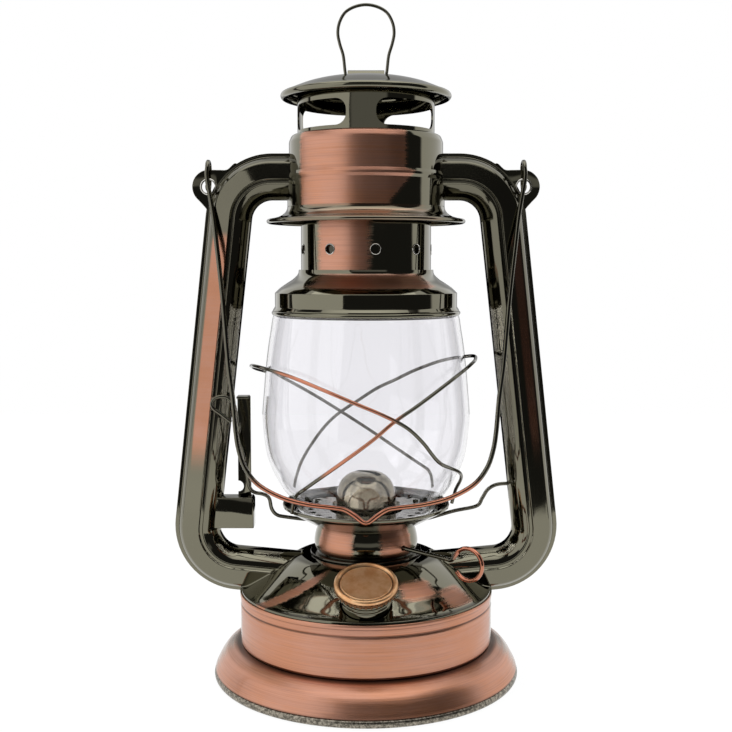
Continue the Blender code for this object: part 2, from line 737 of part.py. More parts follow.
# Turn from the front, share of the guard's radius, share of its height
LEFT_HIGH_GUARD_SHARES = (
    (88.0, 0.757, 0.0), (84.0, 0.79, 0.1), (64.0, 0.895, 0.26), (39.0, 0.955, 0.385),
    (27.5, 0.985, 0.535), (18.6, 0.997, 0.64), (7.0, 1.0, 0.725), (-5.0, 1.0, 0.795),
    (-20.0, 0.998, 0.875), (-38.5, 0.998, 0.95), (-62.0, 1.0, 0.985), (-84.0, 1.0, 0.97),
    (-100.0, 1.0, 0.93), (-119.0, 1.0, 0.87), (-145.0, 1.0, 0.715), (-165.0, 0.99, 0.55),
    (-189.0, 0.945, 0.345), (-219.0, 0.85, 0.165), (-231.0, 0.80, 0.12), (-239.0, 0.757, 0.03))
RIGHT_HIGH_GUARD_SHARES = (
    (-56.0, 0.757, 0.0), (-47.3, 0.80, 0.13), (-33.8, 0.87, 0.22), (-12.8, 0.92, 0.40),
    (3.1, 0.945, 0.555), (13.7, 0.952, 0.67), (26.8, 0.955, 0.775), (47.6, 0.955, 0.915),
    (66.0, 0.955, 0.99), (84.2, 0.955, 1.015), (100.6, 0.955, 1.02), (129.8, 0.955, 0.96),
    (149.4, 0.955, 0.875), (162.3, 0.957, 0.795), (173.5, 0.96, 0.725), (185.5, 0.955, 0.625),
    (199.0, 0.94, 0.515), (211.0, 0.91, 0.385), (226.6, 0.85, 0.215), (247.5, 0.757, 0.04))


def guard_wire(name, shares):
    """Wire hoop that leans round the globe, with both ends on the dish's rim."""
    foot_z = SEAT_FOOT - 2 * SHEET + PLATE_DEPTH
    end_r = PLATE_R + GUARD_WIRE_R + GAP
    points = []
    for turn, reach, rise in shares:
        angle = math.radians(turn)
        radius = GUARD_R * reach
        if rise < shares[1][2]:
            radius = end_r
        points.append(Vector((radius * math.sin(angle), -radius * math.cos(angle),
                              foot_z + GUARD_H * rise)))
    route = smooth_route(points, GUARD_R / 6)
    return wire(name, route, GUARD_WIRE_R, Finish.GUNMETAL)


def lift_strip():
    """Flat strip that slides in the bracket and lifts the globe carrier."""
    foot = strip_foot_z()
    strip = box("lift_strip", (-STRIP_X, 0, foot + STRIP_L / 2), (STRIP_W, STRIP_T, STRIP_L),
                Finish.GUNMETAL)
    tab = box("strip_tab", (-STRIP_X, -STRIP_TAB / 2, foot + STRIP_L),
              (STRIP_W * 0.9, STRIP_TAB, STRIP_T), Finish.GUNMETAL)
    notch = rod("strip_notch", (-STRIP_X - STRIP_W / 2, -OVERRUN, foot + STRIP_L * 0.32),
                (-STRIP_X - STRIP_W / 2, OVERRUN, foot + STRIP_L * 0.32), STRIP_NOTCH_R, sides=12)
    strip = absorb(strip, tab)
    strip.data.materials.clear()
    strip.data.materials.append(material(Finish.GUNMETAL))
    boolean(strip, notch)
    return strip


def strip_foot_z():
    """Lower end of the strip, level with the bracket's foot."""
    return NECK_TOP - LIFT_WIRE_R * 4


def wire_level():
    """Height of the lift wire's run under the dish, a gap below the dish's slope."""
    return SEAT_FOOT - LIFT_WIRE_R * 0.9


def guide_level():
    """Height of the lift wire's end in the right tube."""
    return wire_level() + PLATE_DEPTH * 1.93


def lift_wire():
    """One wire: thumb loop, fall along the strip, bend round the burner, end in the tube."""
    under = wire_level()
    top = under + LIFT_LOOP_RISE
    loop_x = TUBE_R * 0.8 - tube_x(top)
    loop_shares = ((0.6, 0.0), (-0.24, 0.32), (-0.87, 0.55), (-0.98, 0.75), (-0.73, 0.93),
                   (-0.24, 1.0), (0.24, 0.98), (0.62, 0.83), (0.87, 0.65), (0.96, 0.42),
                   (1.09, 0.09), (1.25, -0.25))
    points = [Vector((loop_x + LIFT_LOOP_W / 2 * x, -LIFT_LOOP_FRONT, top + LIFT_LOOP_H * z))
              for x, z in loop_shares]
    strip_right = STRIP_W / 2 - STRIP_X
    rim = PLATE_R + LIFT_WIRE_R
    fall = ((strip_right - STRIP_W * 0.9, 0.62, 0.16), (strip_right - STRIP_W * 0.55, 0.4, 0.33),
            (strip_right - STRIP_W * 0.35, 0.23, 0.5), (strip_right - STRIP_W * 0.15, 0.16, 0.655),
            (strip_right + LIFT_WIRE_R * 1.5, 0.15, 0.72), (-rim - LIFT_WIRE_R * 9.5, 0.14, 0.742),
            (-rim - LIFT_WIRE_R * 6.3, 0.14, 0.78), (-rim - LIFT_WIRE_R * 5, 0.1, 0.888),
            (-rim - LIFT_WIRE_R * 2.5, 0.05, 0.95), (-rim + LIFT_WIRE_R * 2, 0.0, 0.975))
    for x, lead, drop in fall:
        points.append(Vector((x, -LIFT_LOOP_FRONT * lead, lerp(top, under, drop))))
    bend_r = NECK_R + NECK_FLANGE + LIFT_WIRE_R
    arc = 10
    for step in range(arc + 1):
        angle = math.pi * (1 - step / arc)
        points.append(Vector((bend_r * math.cos(angle), bend_r * math.sin(angle), under)))
    end_x = tube_x(guide_level()) - TUBE_R * 0.55
    for along, rise in ((0.04, 0.23), (0.39, 0.37), (0.477, 0.59), (0.566, 0.84), (0.72, 0.98), (1.0, 1.0)):
        points.append(Vector((lerp(rim, end_x, along), 0, lerp(under, guide_level(), rise))))
    return wire("lift_wire", smooth_route(points, LIFT_WIRE_R * 4), LIFT_WIRE_R, Finish.GUNMETAL)


def tube_x(z):
    """Distance of a side tube's centre line from the lantern's axis at a height."""
    share = (z - TUBE_FOOT_Z) / (TUBE_TOP_Z - TUBE_FOOT_Z)
    return lerp(TUBE_FOOT_X, TUBE_TOP_X, share)


def lift_bracket():
    """Box on the left tube in which the strip slides."""
    foot = strip_foot_z()
    right = -STRIP_X + STRIP_W / 2 + GAP + BRACKET_WALL
    left = -tube_x(foot)
    depth = BRACKET_FRONT + BRACKET_BACK
    body = box("lift_bracket", ((left + right) / 2, (BRACKET_BACK - BRACKET_FRONT) / 2, foot + BRACKET_H / 2),
               (right - left, depth, BRACKET_H), Finish.GUNMETAL)
    slot = box("bracket_slot", (-STRIP_X, 0, foot + BRACKET_H / 2),
               (STRIP_W + 2 * GAP, STRIP_T + 2 * GAP, BRACKET_H + 2 * OVERRUN))
    boolean(body, slot)
    front = box("bracket_front", (-STRIP_X, -BRACKET_FRONT, foot + BRACKET_H / 2),
                (STRIP_W * 0.6, 2 * (BRACKET_FRONT - BRACKET_WALL), BRACKET_H + 2 * OVERRUN))
    boolean(body, front)
    trim = to_mesh(wire("bracket_trim", tube_route(-1), TUBE_R + GAP, resolution=3))
    boolean(body, trim)
    flange = box("bracket_flange", (left, 0, foot + BRACKET_H / 2),
                 (2 * (TUBE_R + SEAM_FLANGE + 2 * GAP), FLANGE_T + 2 * GAP, BRACKET_H + 2 * OVERRUN))
    boolean(body, flange)
    return body


# Side tubes

def tube_route(side, start_x=None):
    """Centre line of a side tube from the drum to the dome."""
    inner = start_x if start_x is not None else DRUM_R - OVERRUN
    corners = [(side * inner, 0, TUBE_TOP_Z), (side * TUBE_TOP_X, 0, TUBE_TOP_Z),
               (side * TUBE_FOOT_X, 0, TUBE_FOOT_Z),
               (side * (BODY_R - TUBE_SINK), 0, TUBE_FOOT_Z - TUBE_FOOT_DROP)]
    return filleted(corners, (TUBE_TOP_BEND_R, TUBE_FOOT_BEND_R))


def offset_route(route, distance, side):
    """The route moved outward in its own plane."""
    moved = []
    for index, point in enumerate(route):
        before = route[max(index - 1, 0)]
        after = route[min(index + 1, len(route) - 1)]
        along = (after - before).normalized()
        out = Vector((along.z, 0, -along.x)) * -side
        moved.append(point + out * distance)
    return moved


def seam_flange(name, side, finish=None, grow=0.0):
    """Flat strip along the outside of a tube, where its two halves are welded."""
    route = tube_route(side)
    inner = offset_route(route, TUBE_R - SHEET / 2, side)
    outer = offset_route(route, TUBE_R + SEAM_FLANGE + grow, side)
    data = bpy.data.curves.new(name, "CURVE")
    data.dimensions = "2D"
    data.fill_mode = "BOTH"
    data.extrude = FLANGE_T / 2 + grow
    spline = data.splines.new("POLY")
    ring = inner + outer[::-1]
    spline.points.add(len(ring) - 1)
    for slot, point in zip(spline.points, ring):
        slot.co = (point.x, point.z, 0.0, 1.0)
    spline.use_cyclic_u = True
    obj = bpy.data.objects.new(name, data)
    (PARTS if finish else CUTTERS).objects.link(obj)
    obj.matrix_world = Matrix.Rotation(math.pi / 2, 4, "X")
    made = to_mesh(obj)
    if not finish:
        made.hide_render = True
        made.display_type = "WIRE"
    return made


def side_tube(name, side, drum_solid, dome_solid):
    """Air tube from the drum to the fount, with its welded seam and the bail's ear."""
    pipe = wire(name, tube_route(side), TUBE_R, Finish.GUNMETAL, resolution=3)
    pipe = to_mesh(pipe)
    flange = seam_flange(name + "_seam", side)
    pipe = absorb(pipe, flange)
    ear = rod(name + "_ear", (side * EAR_X, -FLANGE_T / 2, EAR_Z), (side * EAR_X, FLANGE_T / 2, EAR_Z),
              EAR_R, sides=24)
    pipe = absorb(pipe, ear)
    bore = to_mesh(wire(name + "_bore", tube_route(side, DRUM_R - 2 * OVERRUN), TUBE_R - SHEET, resolution=3))
    boolean(pipe, bore)
    hole = rod(name + "_hole", (side * EAR_X, -OVERRUN, EAR_Z), (side * EAR_X, OVERRUN, EAR_Z),
               EYELET_HOLE_R + EYELET_WALL + GAP / 2, sides=20)
    boolean(pipe, hole)
    boolean(pipe, drum_solid)
    boolean(pipe, dome_solid)
    if side > 0:
        low = guide_level() - GUIDE_SLOT_W
        high = guide_level() + CARRIER_TRAVEL + GUIDE_SLOT_W
        slot = box("guide_slot", (tube_x(low) - TUBE_R, 0, (low + high) / 2),
                   (TUBE_R * 1.3, GUIDE_SLOT_W, high - low))
        boolean(pipe, slot)
    pipe = to_mesh(pipe)
    pipe.data.materials.clear()
    pipe.data.materials.append(material(Finish.GUNMETAL))
    smooth(pipe)
    return pipe


def ear_eyelet(name, side):
    """Rolled eyelet that lines an ear's hole."""
    barrel = EYELET_HOLE_R + EYELET_WALL
    half = FLANGE_T / 2 + GAP
    outer = half + EYELET_WALL
    points = [(EYELET_HOLE_R, outer), (EYELET_R, outer), (EYELET_R, half), (barrel, half),
              (barrel, -half), (EYELET_R, -half), (EYELET_R, -outer), (EYELET_HOLE_R, -outer)]
    ring = turned(name, points, Finish.GUNMETAL, steps=14)
    ring.matrix_world = Matrix.Translation((side * EAR_X, 0, EAR_Z)) @ Matrix.Rotation(math.pi / 2, 4, "X")
    return ring


# Drum

def drum_cutter():
    """Solid of the drum, a gap larger, that trims the tubes."""
    outer = DRUM_R + DRUM_BEAD + GAP
    points = [(0.0, DRUM_TOP + OVERRUN), (outer, DRUM_TOP + OVERRUN), (outer, DRUM_FOOT),
              (0.0, DRUM_FOOT)]
    return to_mesh(turned("drum_cutter", points))


def drum_shell():
    """Copper air chamber with a raised bead and a port for each side tube."""
    bead_shares = ((0.51, 0.0), (0.485, 1.0), (0.44, 1.0), (0.415, 0.0))
    points = [(DRUM_HOLE_R, DRUM_TOP), (lerp(DRUM_HOLE_R, DRUM_R, 0.55), DRUM_TOP - SHEET / 4),
              (lerp(DRUM_HOLE_R, DRUM_R, 0.92), DRUM_TOP - 1.5 * SHEET), (DRUM_R, DRUM_TOP - 4 * SHEET)]
    points += [(DRUM_R + DRUM_BEAD * out, lerp(DRUM_FOOT, DRUM_TOP, rise)) for rise, out in bead_shares]
    points.append((DRUM_R, DRUM_FOOT))
    drum = turned("drum_shell", points, Finish.COPPER, SHEET)
    port = rod("tube_ports", (-DRUM_R - OVERRUN, 0, TUBE_TOP_Z), (DRUM_R + OVERRUN, 0, TUBE_TOP_Z),
               TUBE_R - SHEET, sides=20)
    boolean(drum, port)
    return drum


def drum_skirt():
    """Flared skirt under the drum with a rolled rim."""
    inner = DRUM_R + GAP + SHEET
    flare_shares = ((0.0, 1.0), (0.04, 0.78), (0.15, 0.6), (0.38, 0.42), (0.72, 0.3))
    points = outline((inner, DRUM_RIM_R), (DRUM_RIM_Z, DRUM_RIM_Z + DRUM_SKIRT_H), flare_shares)
    points += curl(DRUM_RIM_R - DRUM_ROLL_R, DRUM_RIM_Z + DRUM_ROLL_R, DRUM_ROLL_R, 60, -150)
    skirt = turned("drum_skirt", points, Finish.GUNMETAL, SHEET * 0.75)
    notch = rod("skirt_notches", (-DRUM_RIM_R - OVERRUN, 0, TUBE_TOP_Z),
                (DRUM_RIM_R + OVERRUN, 0, TUBE_TOP_Z), TUBE_R + GAP, sides=24)
    boolean(skirt, notch)
    return skirt


def drum_baffle():
    """Floor ring of the drum that guides the chimney."""
    z = DRUM_FOOT + BAFFLE_RISE
    outer = DRUM_R - SHEET - GAP
    inner = CHIMNEY_R + GAP + SHEET / 4
    points = [(inner, z + SHEET), (outer, z + SHEET), (outer, z), (inner, z)]
    return turned("drum_baffle", points, Finish.GUNMETAL)


# Chimney

def bell_hood():
    """Bell over the globe with a straight band and a rolled rim."""
    top_r = CHIMNEY_R + GAP + SHEET
    bell_shares = ((0.0, 1.0), (0.07, 0.87), (0.35, 0.74), (0.76, 0.625), (0.96, 0.53),
                   (1.0, 0.43), (1.0, 0.2))
    points = outline((top_r, BELL_BAND_R), (BELL_FOOT, BELL_TOP), bell_shares)
    points += [(lerp(BELL_BAND_R, BELL_R, 0.25), lerp(BELL_FOOT, BELL_TOP, 0.13))]
    points += curl(BELL_R - BELL_ROLL_R, BELL_FOOT + BELL_ROLL_R, BELL_ROLL_R, 50, -160)
    return turned("bell_hood", points, Finish.GUNMETAL, SHEET * 0.8)


def chimney_tube():
    """Perforated tube from the bell up through the drum."""
    points = [(CHIMNEY_R, CHIMNEY_TOP), (CHIMNEY_R, CHIMNEY_FOOT)]
    tube = turned("chimney_tube", points, Finish.COPPER, SHEET)
    z = BELL_TOP + VENT_RISE
    for index in range(VENT_HOLES):
        angle = math.radians(VENT_TURN_DEG + 360.0 * index / VENT_HOLES)
        out = Vector((math.sin(angle), -math.cos(angle), 0))
        low = out * (CHIMNEY_R - SHEET - OVERRUN) + Vector((0, 0, z))
        high = out * (CHIMNEY_R + OVERRUN) + Vector((0, 0, z))
        boolean(tube, rod(f"vent_hole_{index}", low, high, VENT_HOLE_R, sides=12))
    return tube


def vent_cage():
    """Slotted ring between the drum and the cap."""
    points = [(CAGE_R, CAGE_TOP), (CAGE_R, CAGE_FOOT)]
    cage = turned("vent_cage", points, Finish.GUNMETAL, CAGE_WALL)
    slot_low = CHIMNEY_TOP + CAGE_SLOT_RISE - CAGE_LAP
    slot_high = slot_low + CAGE_SLOT_H
    for index in range(CAGE_SLOTS):
        centre = CAGE_TURN_DEG + 360.0 * index / CAGE_SLOTS
        boolean(cage, cage_slot(f"cage_slot_{index}", centre, slot_low, slot_high))
    return cage


def cage_slot(name, centre_deg, low, high):
    """Wedge with bevelled corners that opens one slot of the cage."""
    half = math.radians(CAGE_SLOT_DEG) / 2
    ring_shares = ((0.0, 0.22), (0.055, 0.0), (0.945, 0.0), (1.0, 0.22),
                   (1.0, 0.78), (0.945, 1.0), (0.055, 1.0), (0.0, 0.78))
    mesh = bpy.data.meshes.new(name)
    work = bmesh.new()
    layers = []
    for radius in (CAGE_R - CAGE_WALL - OVERRUN / 2, CAGE_R + OVERRUN):
        layer = []
        for across, up in refined(ring_shares, steps=4):
            angle = math.radians(centre_deg) + lerp(-half, half, across)
            layer.append(work.verts.new((radius * math.sin(angle), -radius * math.cos(angle),
                                         lerp(low, high, up))))
        layers.append(layer)
    count = len(layers[0])
    for i in range(count):
        j = (i + 1) % count
        work.faces.new((layers[0][i], layers[0][j], layers[1][j], layers[1][i]))
    work.faces.new(layers[0][::-1])
    work.faces.new(layers[1])
    bmesh.ops.triangulate(work, faces=work.faces)
    bmesh.ops.recalc_face_normals(work, faces=work.faces)
    work.to_mesh(mesh)
    work.free()
    return mesh_object(name, mesh)


def refined(ring, steps):
    """The ring with its long top and bottom sides divided."""
    long_side = 0.5
    points = []
    for index, (x, z) in enumerate(ring):
        points.append((x, z))
        next_x, next_z = ring[(index + 1) % len(ring)]
        if abs(next_x - x) > long_side:
            for step in range(1, steps):
                points.append((lerp(x, next_x, step / steps), z))
    return points


def chimney_cap():
    """Shallow lid with a rolled rim."""
    lid_shares = ((0.0, 1.0), (0.386, 0.96), (0.72, 0.69), (0.93, 0.42))
    points = outline((0.0, CAP_R), (CAP_FOOT, CAP_TOP), lid_shares)
    points += curl(CAP_R - CAP_ROLL_R, CAP_FOOT + CAP_ROLL_R, CAP_ROLL_R, 60, -170)
    return turned("chimney_cap", points, Finish.GUNMETAL, SHEET)


def cap_strap():
    """Saddle that holds the ring on the lid."""
    hump = 2 * RING_WIRE_R + 2 * GAP
    half = RING_WIRE_R + GAP
    slope = STRAP_T * 1.5
    outset = STRAP_T / 4
    base = CAP_TOP + GAP
    foot = STRAP_W / 2
    right = [(half, hump), (half + slope, 0.0), (foot, -GAP)]
    right_top = [(half + outset, hump + STRAP_T), (half + slope + outset, STRAP_T), (foot, STRAP_T - GAP)]
    line = [(-y, base + z) for y, z in right[::-1]] + [(y, base + z) for y, z in right]
    upper = [(-y, base + z) for y, z in right_top[::-1]] + [(y, base + z) for y, z in right_top]
    data = bpy.data.curves.new("cap_strap", "CURVE")
    data.dimensions = "2D"
    data.fill_mode = "BOTH"
    data.extrude = STRAP_L / 2
    spline = data.splines.new("POLY")
    ring = line + upper[::-1]
    spline.points.add(len(ring) - 1)
    for slot, (y, z) in zip(spline.points, ring):
        slot.co = (y, z, 0.0, 1.0)
    spline.use_cyclic_u = True
    obj = bpy.data.objects.new("cap_strap", data)
    data.materials.append(material(Finish.GUNMETAL))
    PARTS.objects.link(obj)
    obj.matrix_world = Matrix(((0, 0, 1, 0), (1, 0, 0, 0), (0, 1, 0, 0), (0, 0, 0, 1)))
    return to_mesh(obj)


def top_ring():
    """Wire ring whose straight foot turns in the saddle."""
    half = RING_FOOT_W / 2
    ring_shares = ((1.0, 0.0), (1.0, 0.05), (1.09, 0.28), (1.26, 0.45), (1.35, 0.6), (1.27, 0.75),
                   (1.0, 0.89), (0.55, 0.97), (0.0, 1.0))
    right = [Vector((half * x, 0, RING_AXIS_Z + RING_H * z)) for x, z in ring_shares]
    left = [Vector((-p.x, p.y, p.z)) for p in right[-2::-1]]
    loop = smooth_route(right[1:] + left[:-1], RING_WIRE_R * 5)
    return wire("top_ring", [right[0]] + loop + [left[-1]], RING_WIRE_R, Finish.GUNMETAL, cyclic=True)


# Bail

def bail_tilt():
    """Lean at which the bow hangs clear before the dish, or before the guard or filler cap."""
    def hang(front):
        lean = 0.0
        for _ in range(4):
            lead = BAIL_EYE_W / 2 * math.cos(lean) - BAIL_WIRE_R
            lean = math.asin((front + BAIL_CLEAR - lead) / BAIL_L)
        return lean

    tilt = hang(PLATE_R)
    level = BAIL_AXIS_Z - BAIL_L * math.cos(tilt) + BAIL_EYE_W / 2 * math.sin(tilt)
    filler_lean = math.radians(FILLER_TILT_DEG)
    cap_top = FILLER_ABOVE + GAP + GASKET_T + GAP + FILLER_CAP_TOP_T
    cap_front = FILLER_REACH + cap_top * math.sin(filler_lean) + FILLER_CAP_R * math.cos(filler_lean)
    cap_z = DOME_FOOT + FILLER_SINK + cap_top * math.cos(filler_lean) + FILLER_CAP_R * math.sin(filler_lean)
    if level - BAIL_WIRE_R - BAIL_CLEAR < cap_z:
        return hang(cap_front)
    if level + BAIL_WIRE_R > SEAT_TOP + GUARD_H * 0.15:
        return hang(GUARD_R + GUARD_WIRE_R)
    return tilt


def bail():
    """Carrying wire: two eyes through the ears and a bow that hangs before the dish."""
    tilt = bail_tilt()
    half_eye = BAIL_EYE_W / 2
    eye_run = (BAIL_EYE_L - BAIL_EYE_W) / 2
    top_x = BAIL_W / 2
    bow_shares = ((0.982, 0.12), (0.955, 0.21), (0.912, 0.36), (0.866, 0.555), (0.834, 0.653),
                  (0.812, 0.745), (0.79, 0.80), (0.748, 0.85), (0.665, 0.895), (0.52, 0.93),
                  (0.36, 0.949), (0.2, 0.958), (0.13, 0.964), (0.07, 0.98), (0.0, 1.0))
    down = Vector((0, -math.sin(tilt), -math.cos(tilt)))
    front = Vector((0, -math.cos(tilt), math.sin(tilt)))
    hinge = Vector((0, 0, BAIL_AXIS_Z))

    def place(x, fall, lead):
        return hinge + Vector((x, 0, 0)) + down * fall + front * lead

    loops = []
    for side in (-1, 1):
        lower = [place(side * EAR_X, eye_run + half_eye * math.sin(a), half_eye * math.cos(a))
                 for a in (math.radians(d) for d in (50, 75, 100, 125, 150, 180))]
        upper = [place(side * EAR_X, -eye_run - half_eye * math.sin(a), half_eye * math.cos(a))
                 for a in (math.radians(d) for d in (180, 150, 120, 90, 60, 30, 0))]
        loops.append(lower + upper)
    bow_left = [place(-top_x * share, BAIL_L * fall, half_eye) for share, fall in bow_shares]
    bow_right = [place(top_x * share, BAIL_L * fall, half_eye) for share, fall in bow_shares[-2::-1]]
    legs = [place(side * EAR_X, eye_run, half_eye) for side in (-1, 1)]
    bow = smooth_route([legs[0]] + bow_left + bow_right + [legs[1]], BAIL_WIRE_R * 8)
    route = loops[0] + bow + loops[1][::-1]
    return wire("bail", route, BAIL_WIRE_R, Finish.GUNMETAL)


def build_lantern():
    """Every piece of the lantern, from the base up."""
    base_skirt()
    base_plate()
    fount_body()
    fount_seam()
    fount_dome()
    filler_neck()
    filler_gasket()
    filler_cap()
    burner_base()
    burner_neck()
    wick_tube()
    wick()
    wick_wheel()
    wick_knob()
    burner_cone()
    globe_plate()
    globe_seat()
    globe()
    guard_wire("guard_wire_left", LEFT_HIGH_GUARD_SHARES)
    guard_wire("guard_wire_right", RIGHT_HIGH_GUARD_SHARES)
    lift_wire()
    lift_strip()
    lift_bracket()
    drum_solid = drum_cutter()
    dome_solid = dome_cutter()
    side_tube("tube_left", -1, drum_solid, dome_solid)
    side_tube("tube_right", 1, drum_solid, dome_solid)
    ear_eyelet("ear_eyelet_left", -1)
    ear_eyelet("ear_eyelet_right", 1)
    drum_shell()
    drum_skirt()
    drum_baffle()
    chimney_tube()
    bell_hood()
    vent_cage()
    chimney_cap()
    cap_strap()
    top_ring()
    bail()


clear_scene()
PARTS = new_collection("hurricane_lantern")
CUTTERS = new_collection("cutters")
build_lantern()
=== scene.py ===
"""Looks of the hurricane lantern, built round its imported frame.

Metres, +Z up, and -Y is the front. Sizes in the classes are in millimetres.
"""
from __future__ import annotations

import json
import logging
import math
from collections.abc import Callable, Sequence
from dataclasses import dataclass
from enum import Enum
from typing import Any, Protocol

import bmesh
import bpy
from mathutils import Matrix, Vector

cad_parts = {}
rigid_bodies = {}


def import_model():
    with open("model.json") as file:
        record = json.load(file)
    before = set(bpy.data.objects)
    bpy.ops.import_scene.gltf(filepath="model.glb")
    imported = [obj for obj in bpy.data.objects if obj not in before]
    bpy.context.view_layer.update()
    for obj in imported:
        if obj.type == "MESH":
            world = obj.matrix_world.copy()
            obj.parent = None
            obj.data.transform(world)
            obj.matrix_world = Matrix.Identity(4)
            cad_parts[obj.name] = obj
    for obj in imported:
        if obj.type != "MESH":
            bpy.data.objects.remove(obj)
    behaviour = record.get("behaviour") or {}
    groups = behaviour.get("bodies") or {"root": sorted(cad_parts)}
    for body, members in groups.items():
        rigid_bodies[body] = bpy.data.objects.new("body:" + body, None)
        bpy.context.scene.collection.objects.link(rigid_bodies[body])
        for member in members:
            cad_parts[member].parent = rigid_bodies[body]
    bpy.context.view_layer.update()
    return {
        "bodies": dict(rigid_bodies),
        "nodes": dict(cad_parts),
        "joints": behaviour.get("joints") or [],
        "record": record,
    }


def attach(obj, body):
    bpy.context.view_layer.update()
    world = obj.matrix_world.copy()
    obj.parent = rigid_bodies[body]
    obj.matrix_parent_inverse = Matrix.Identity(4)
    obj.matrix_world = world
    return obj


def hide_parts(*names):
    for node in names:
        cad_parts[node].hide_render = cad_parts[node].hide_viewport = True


log = logging.getLogger("hurricane_lantern")

MM = 0.001
TURN_STEPS = 192
Point = tuple[float, float]
Corner = tuple[float, float, float]
Colour = tuple[float, float, float]
Rule = Callable[[Vector], float]


class Body(Enum):
    """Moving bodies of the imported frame."""

    FRAME = "frame"
    CARRIER = "globe_carrier"
    CHIMNEY = "chimney"
    RING = "top_ring"
    BAIL = "bail"
    WASHER = "filler_washer"
    FILLER = "filler_cap"
    KNOB = "wick_knob"
    WICK = "wick"


class Slot(Enum):
    """Material slots of the record."""

    COPPER = "copper"
    FILLER = "filler_copper"
    GUNMETAL = "gunmetal"
    STEEL = "steel"
    GLASS = "glass"
    COTTON = "cotton"
    GASKET = "gasket"


# Node trees

class Socket:
    """An output of a node tree that Python operators combine by Math nodes."""

    def __init__(self, tree: Tree, link: bpy.types.NodeSocket) -> None:
        """Keep the tree and the output socket."""
        self.tree = tree
        self.link = link

    def math(self, operation: str, *values: Any) -> Socket:
        """Math node of one operation on the values."""
        return self.tree.add("ShaderNodeMath", {"operation": operation}, dict(enumerate(values)))

    def __add__(self, other: Any) -> Socket:
        """Sum."""
        return self.math("ADD", self, other)

    def __radd__(self, other: Any) -> Socket:
        """Sum with a number on the left."""
        return self.math("ADD", other, self)

    def __sub__(self, other: Any) -> Socket:
        """Difference."""
        return self.math("SUBTRACT", self, other)

    def __rsub__(self, other: Any) -> Socket:
        """Difference from a number on the left."""
        return self.math("SUBTRACT", other, self)

    def __mul__(self, other: Any) -> Socket:
        """Product."""
        return self.math("MULTIPLY", self, other)

    def __rmul__(self, other: Any) -> Socket:
        """Product with a number on the left."""
        return self.math("MULTIPLY", other, self)

    def clamped(self) -> Socket:
        """The value held between 0 and 1."""
        return self.math("MAXIMUM", self.math("MINIMUM", self, 1.0), 0.0)


class Tree:
    """Builder of one node tree."""

    def __init__(self, tree: bpy.types.NodeTree) -> None:
        """Start with an empty tree.

        Args:
            tree: the shader or geometry tree to fill.
        """
        self.tree = tree
        tree.nodes.clear()

    def add(self, kind: str, settings: dict[str, Any] | None = None,
            sockets: dict[str | int, Any] | None = None, output: str | int = 0) -> Socket:
        """Add a node.

        Args:
            kind: the node's type name.
            settings: its properties, set before its sockets.
            sockets: values or links by socket name or place.
            output: the output that is handed back.

        Returns:
            The wanted output.
        """
        node = self.tree.nodes.new(kind)
        for key, value in (settings or {}).items():
            setattr(node, key, value)
        for key, value in (sockets or {}).items():
            if isinstance(value, Socket):
                self.tree.links.new(value.link, node.inputs[key])
            else:
                node.inputs[key].default_value = value
        return Socket(self, node.outputs[output]) if node.outputs else Socket(self, None)

    def ramp(self, value: Any, low: float, high: float) -> Socket:
        """Smooth rise from 0 to 1 between two values."""
        return self.add("ShaderNodeMapRange", {"interpolation_type": "SMOOTHSTEP"},
                        {0: value, 1: low, 2: high})


class Shader(Tree):
    """Builder of one material."""

    def __init__(self, name: str) -> None:
        """Make the material with an empty tree."""
        self.material = bpy.data.materials.new(name)
        self.material.use_nodes = True
        super().__init__(self.material.node_tree)
        self.place = self.add("ShaderNodeTexCoord", output="Object")

    def attribute(self, name: str) -> Socket:
        """A number kept on the mesh's points."""
        return self.add("ShaderNodeAttribute", {"attribute_name": name}, output="Fac")

    def scaled(self, x: float, y: float, z: float) -> Socket:
        """Object coordinates stretched along each axis."""
        return self.add("ShaderNodeVectorMath", {"operation": "MULTIPLY"},
                        {0: self.place, 1: (x, y, z)})

    def noise(self, vector: Socket, detail: float = 2.0, roughness: float = 0.5) -> Socket:
        """Noise at coordinates that are already scaled."""
        return self.add("ShaderNodeTexNoise", {}, {"Vector": vector, "Scale": 1.0, "Detail": detail,
                                                    "Roughness": roughness})

    def mix(self, factor: Any, first: Any, second: Any) -> Socket:
        """Blend of two colours."""
        first = (*first, 1.0) if isinstance(first, tuple) else first
        second = (*second, 1.0) if isinstance(second, tuple) else second
        return self.add("ShaderNodeMix", {"data_type": "RGBA"}, {0: factor, 6: first, 7: second}, 2)

    def bump(self, height: Socket, strength: float, distance: float) -> Socket:
        """Normal from a height."""
        return self.add("ShaderNodeBump", {}, {"Height": height, "Strength": strength,
                                                "Distance": distance})

    def finish(self, **sockets: Any) -> bpy.types.Material:
        """End the tree in a Principled shader.

        Args:
            sockets: values or links by the shader's socket names, with _ for a space.

        Returns:
            The material.
        """
        named = {key.replace("_", " "): value for key, value in sockets.items()}
        surface = self.add("ShaderNodeBsdfPrincipled", {}, named)
        self.add("ShaderNodeOutputMaterial", {}, {"Surface": surface})
        return self.material


# Finishes

class Finish(Protocol):
    """What makes a material."""

    def material(self) -> bpy.types.Material:
        """Build the material."""


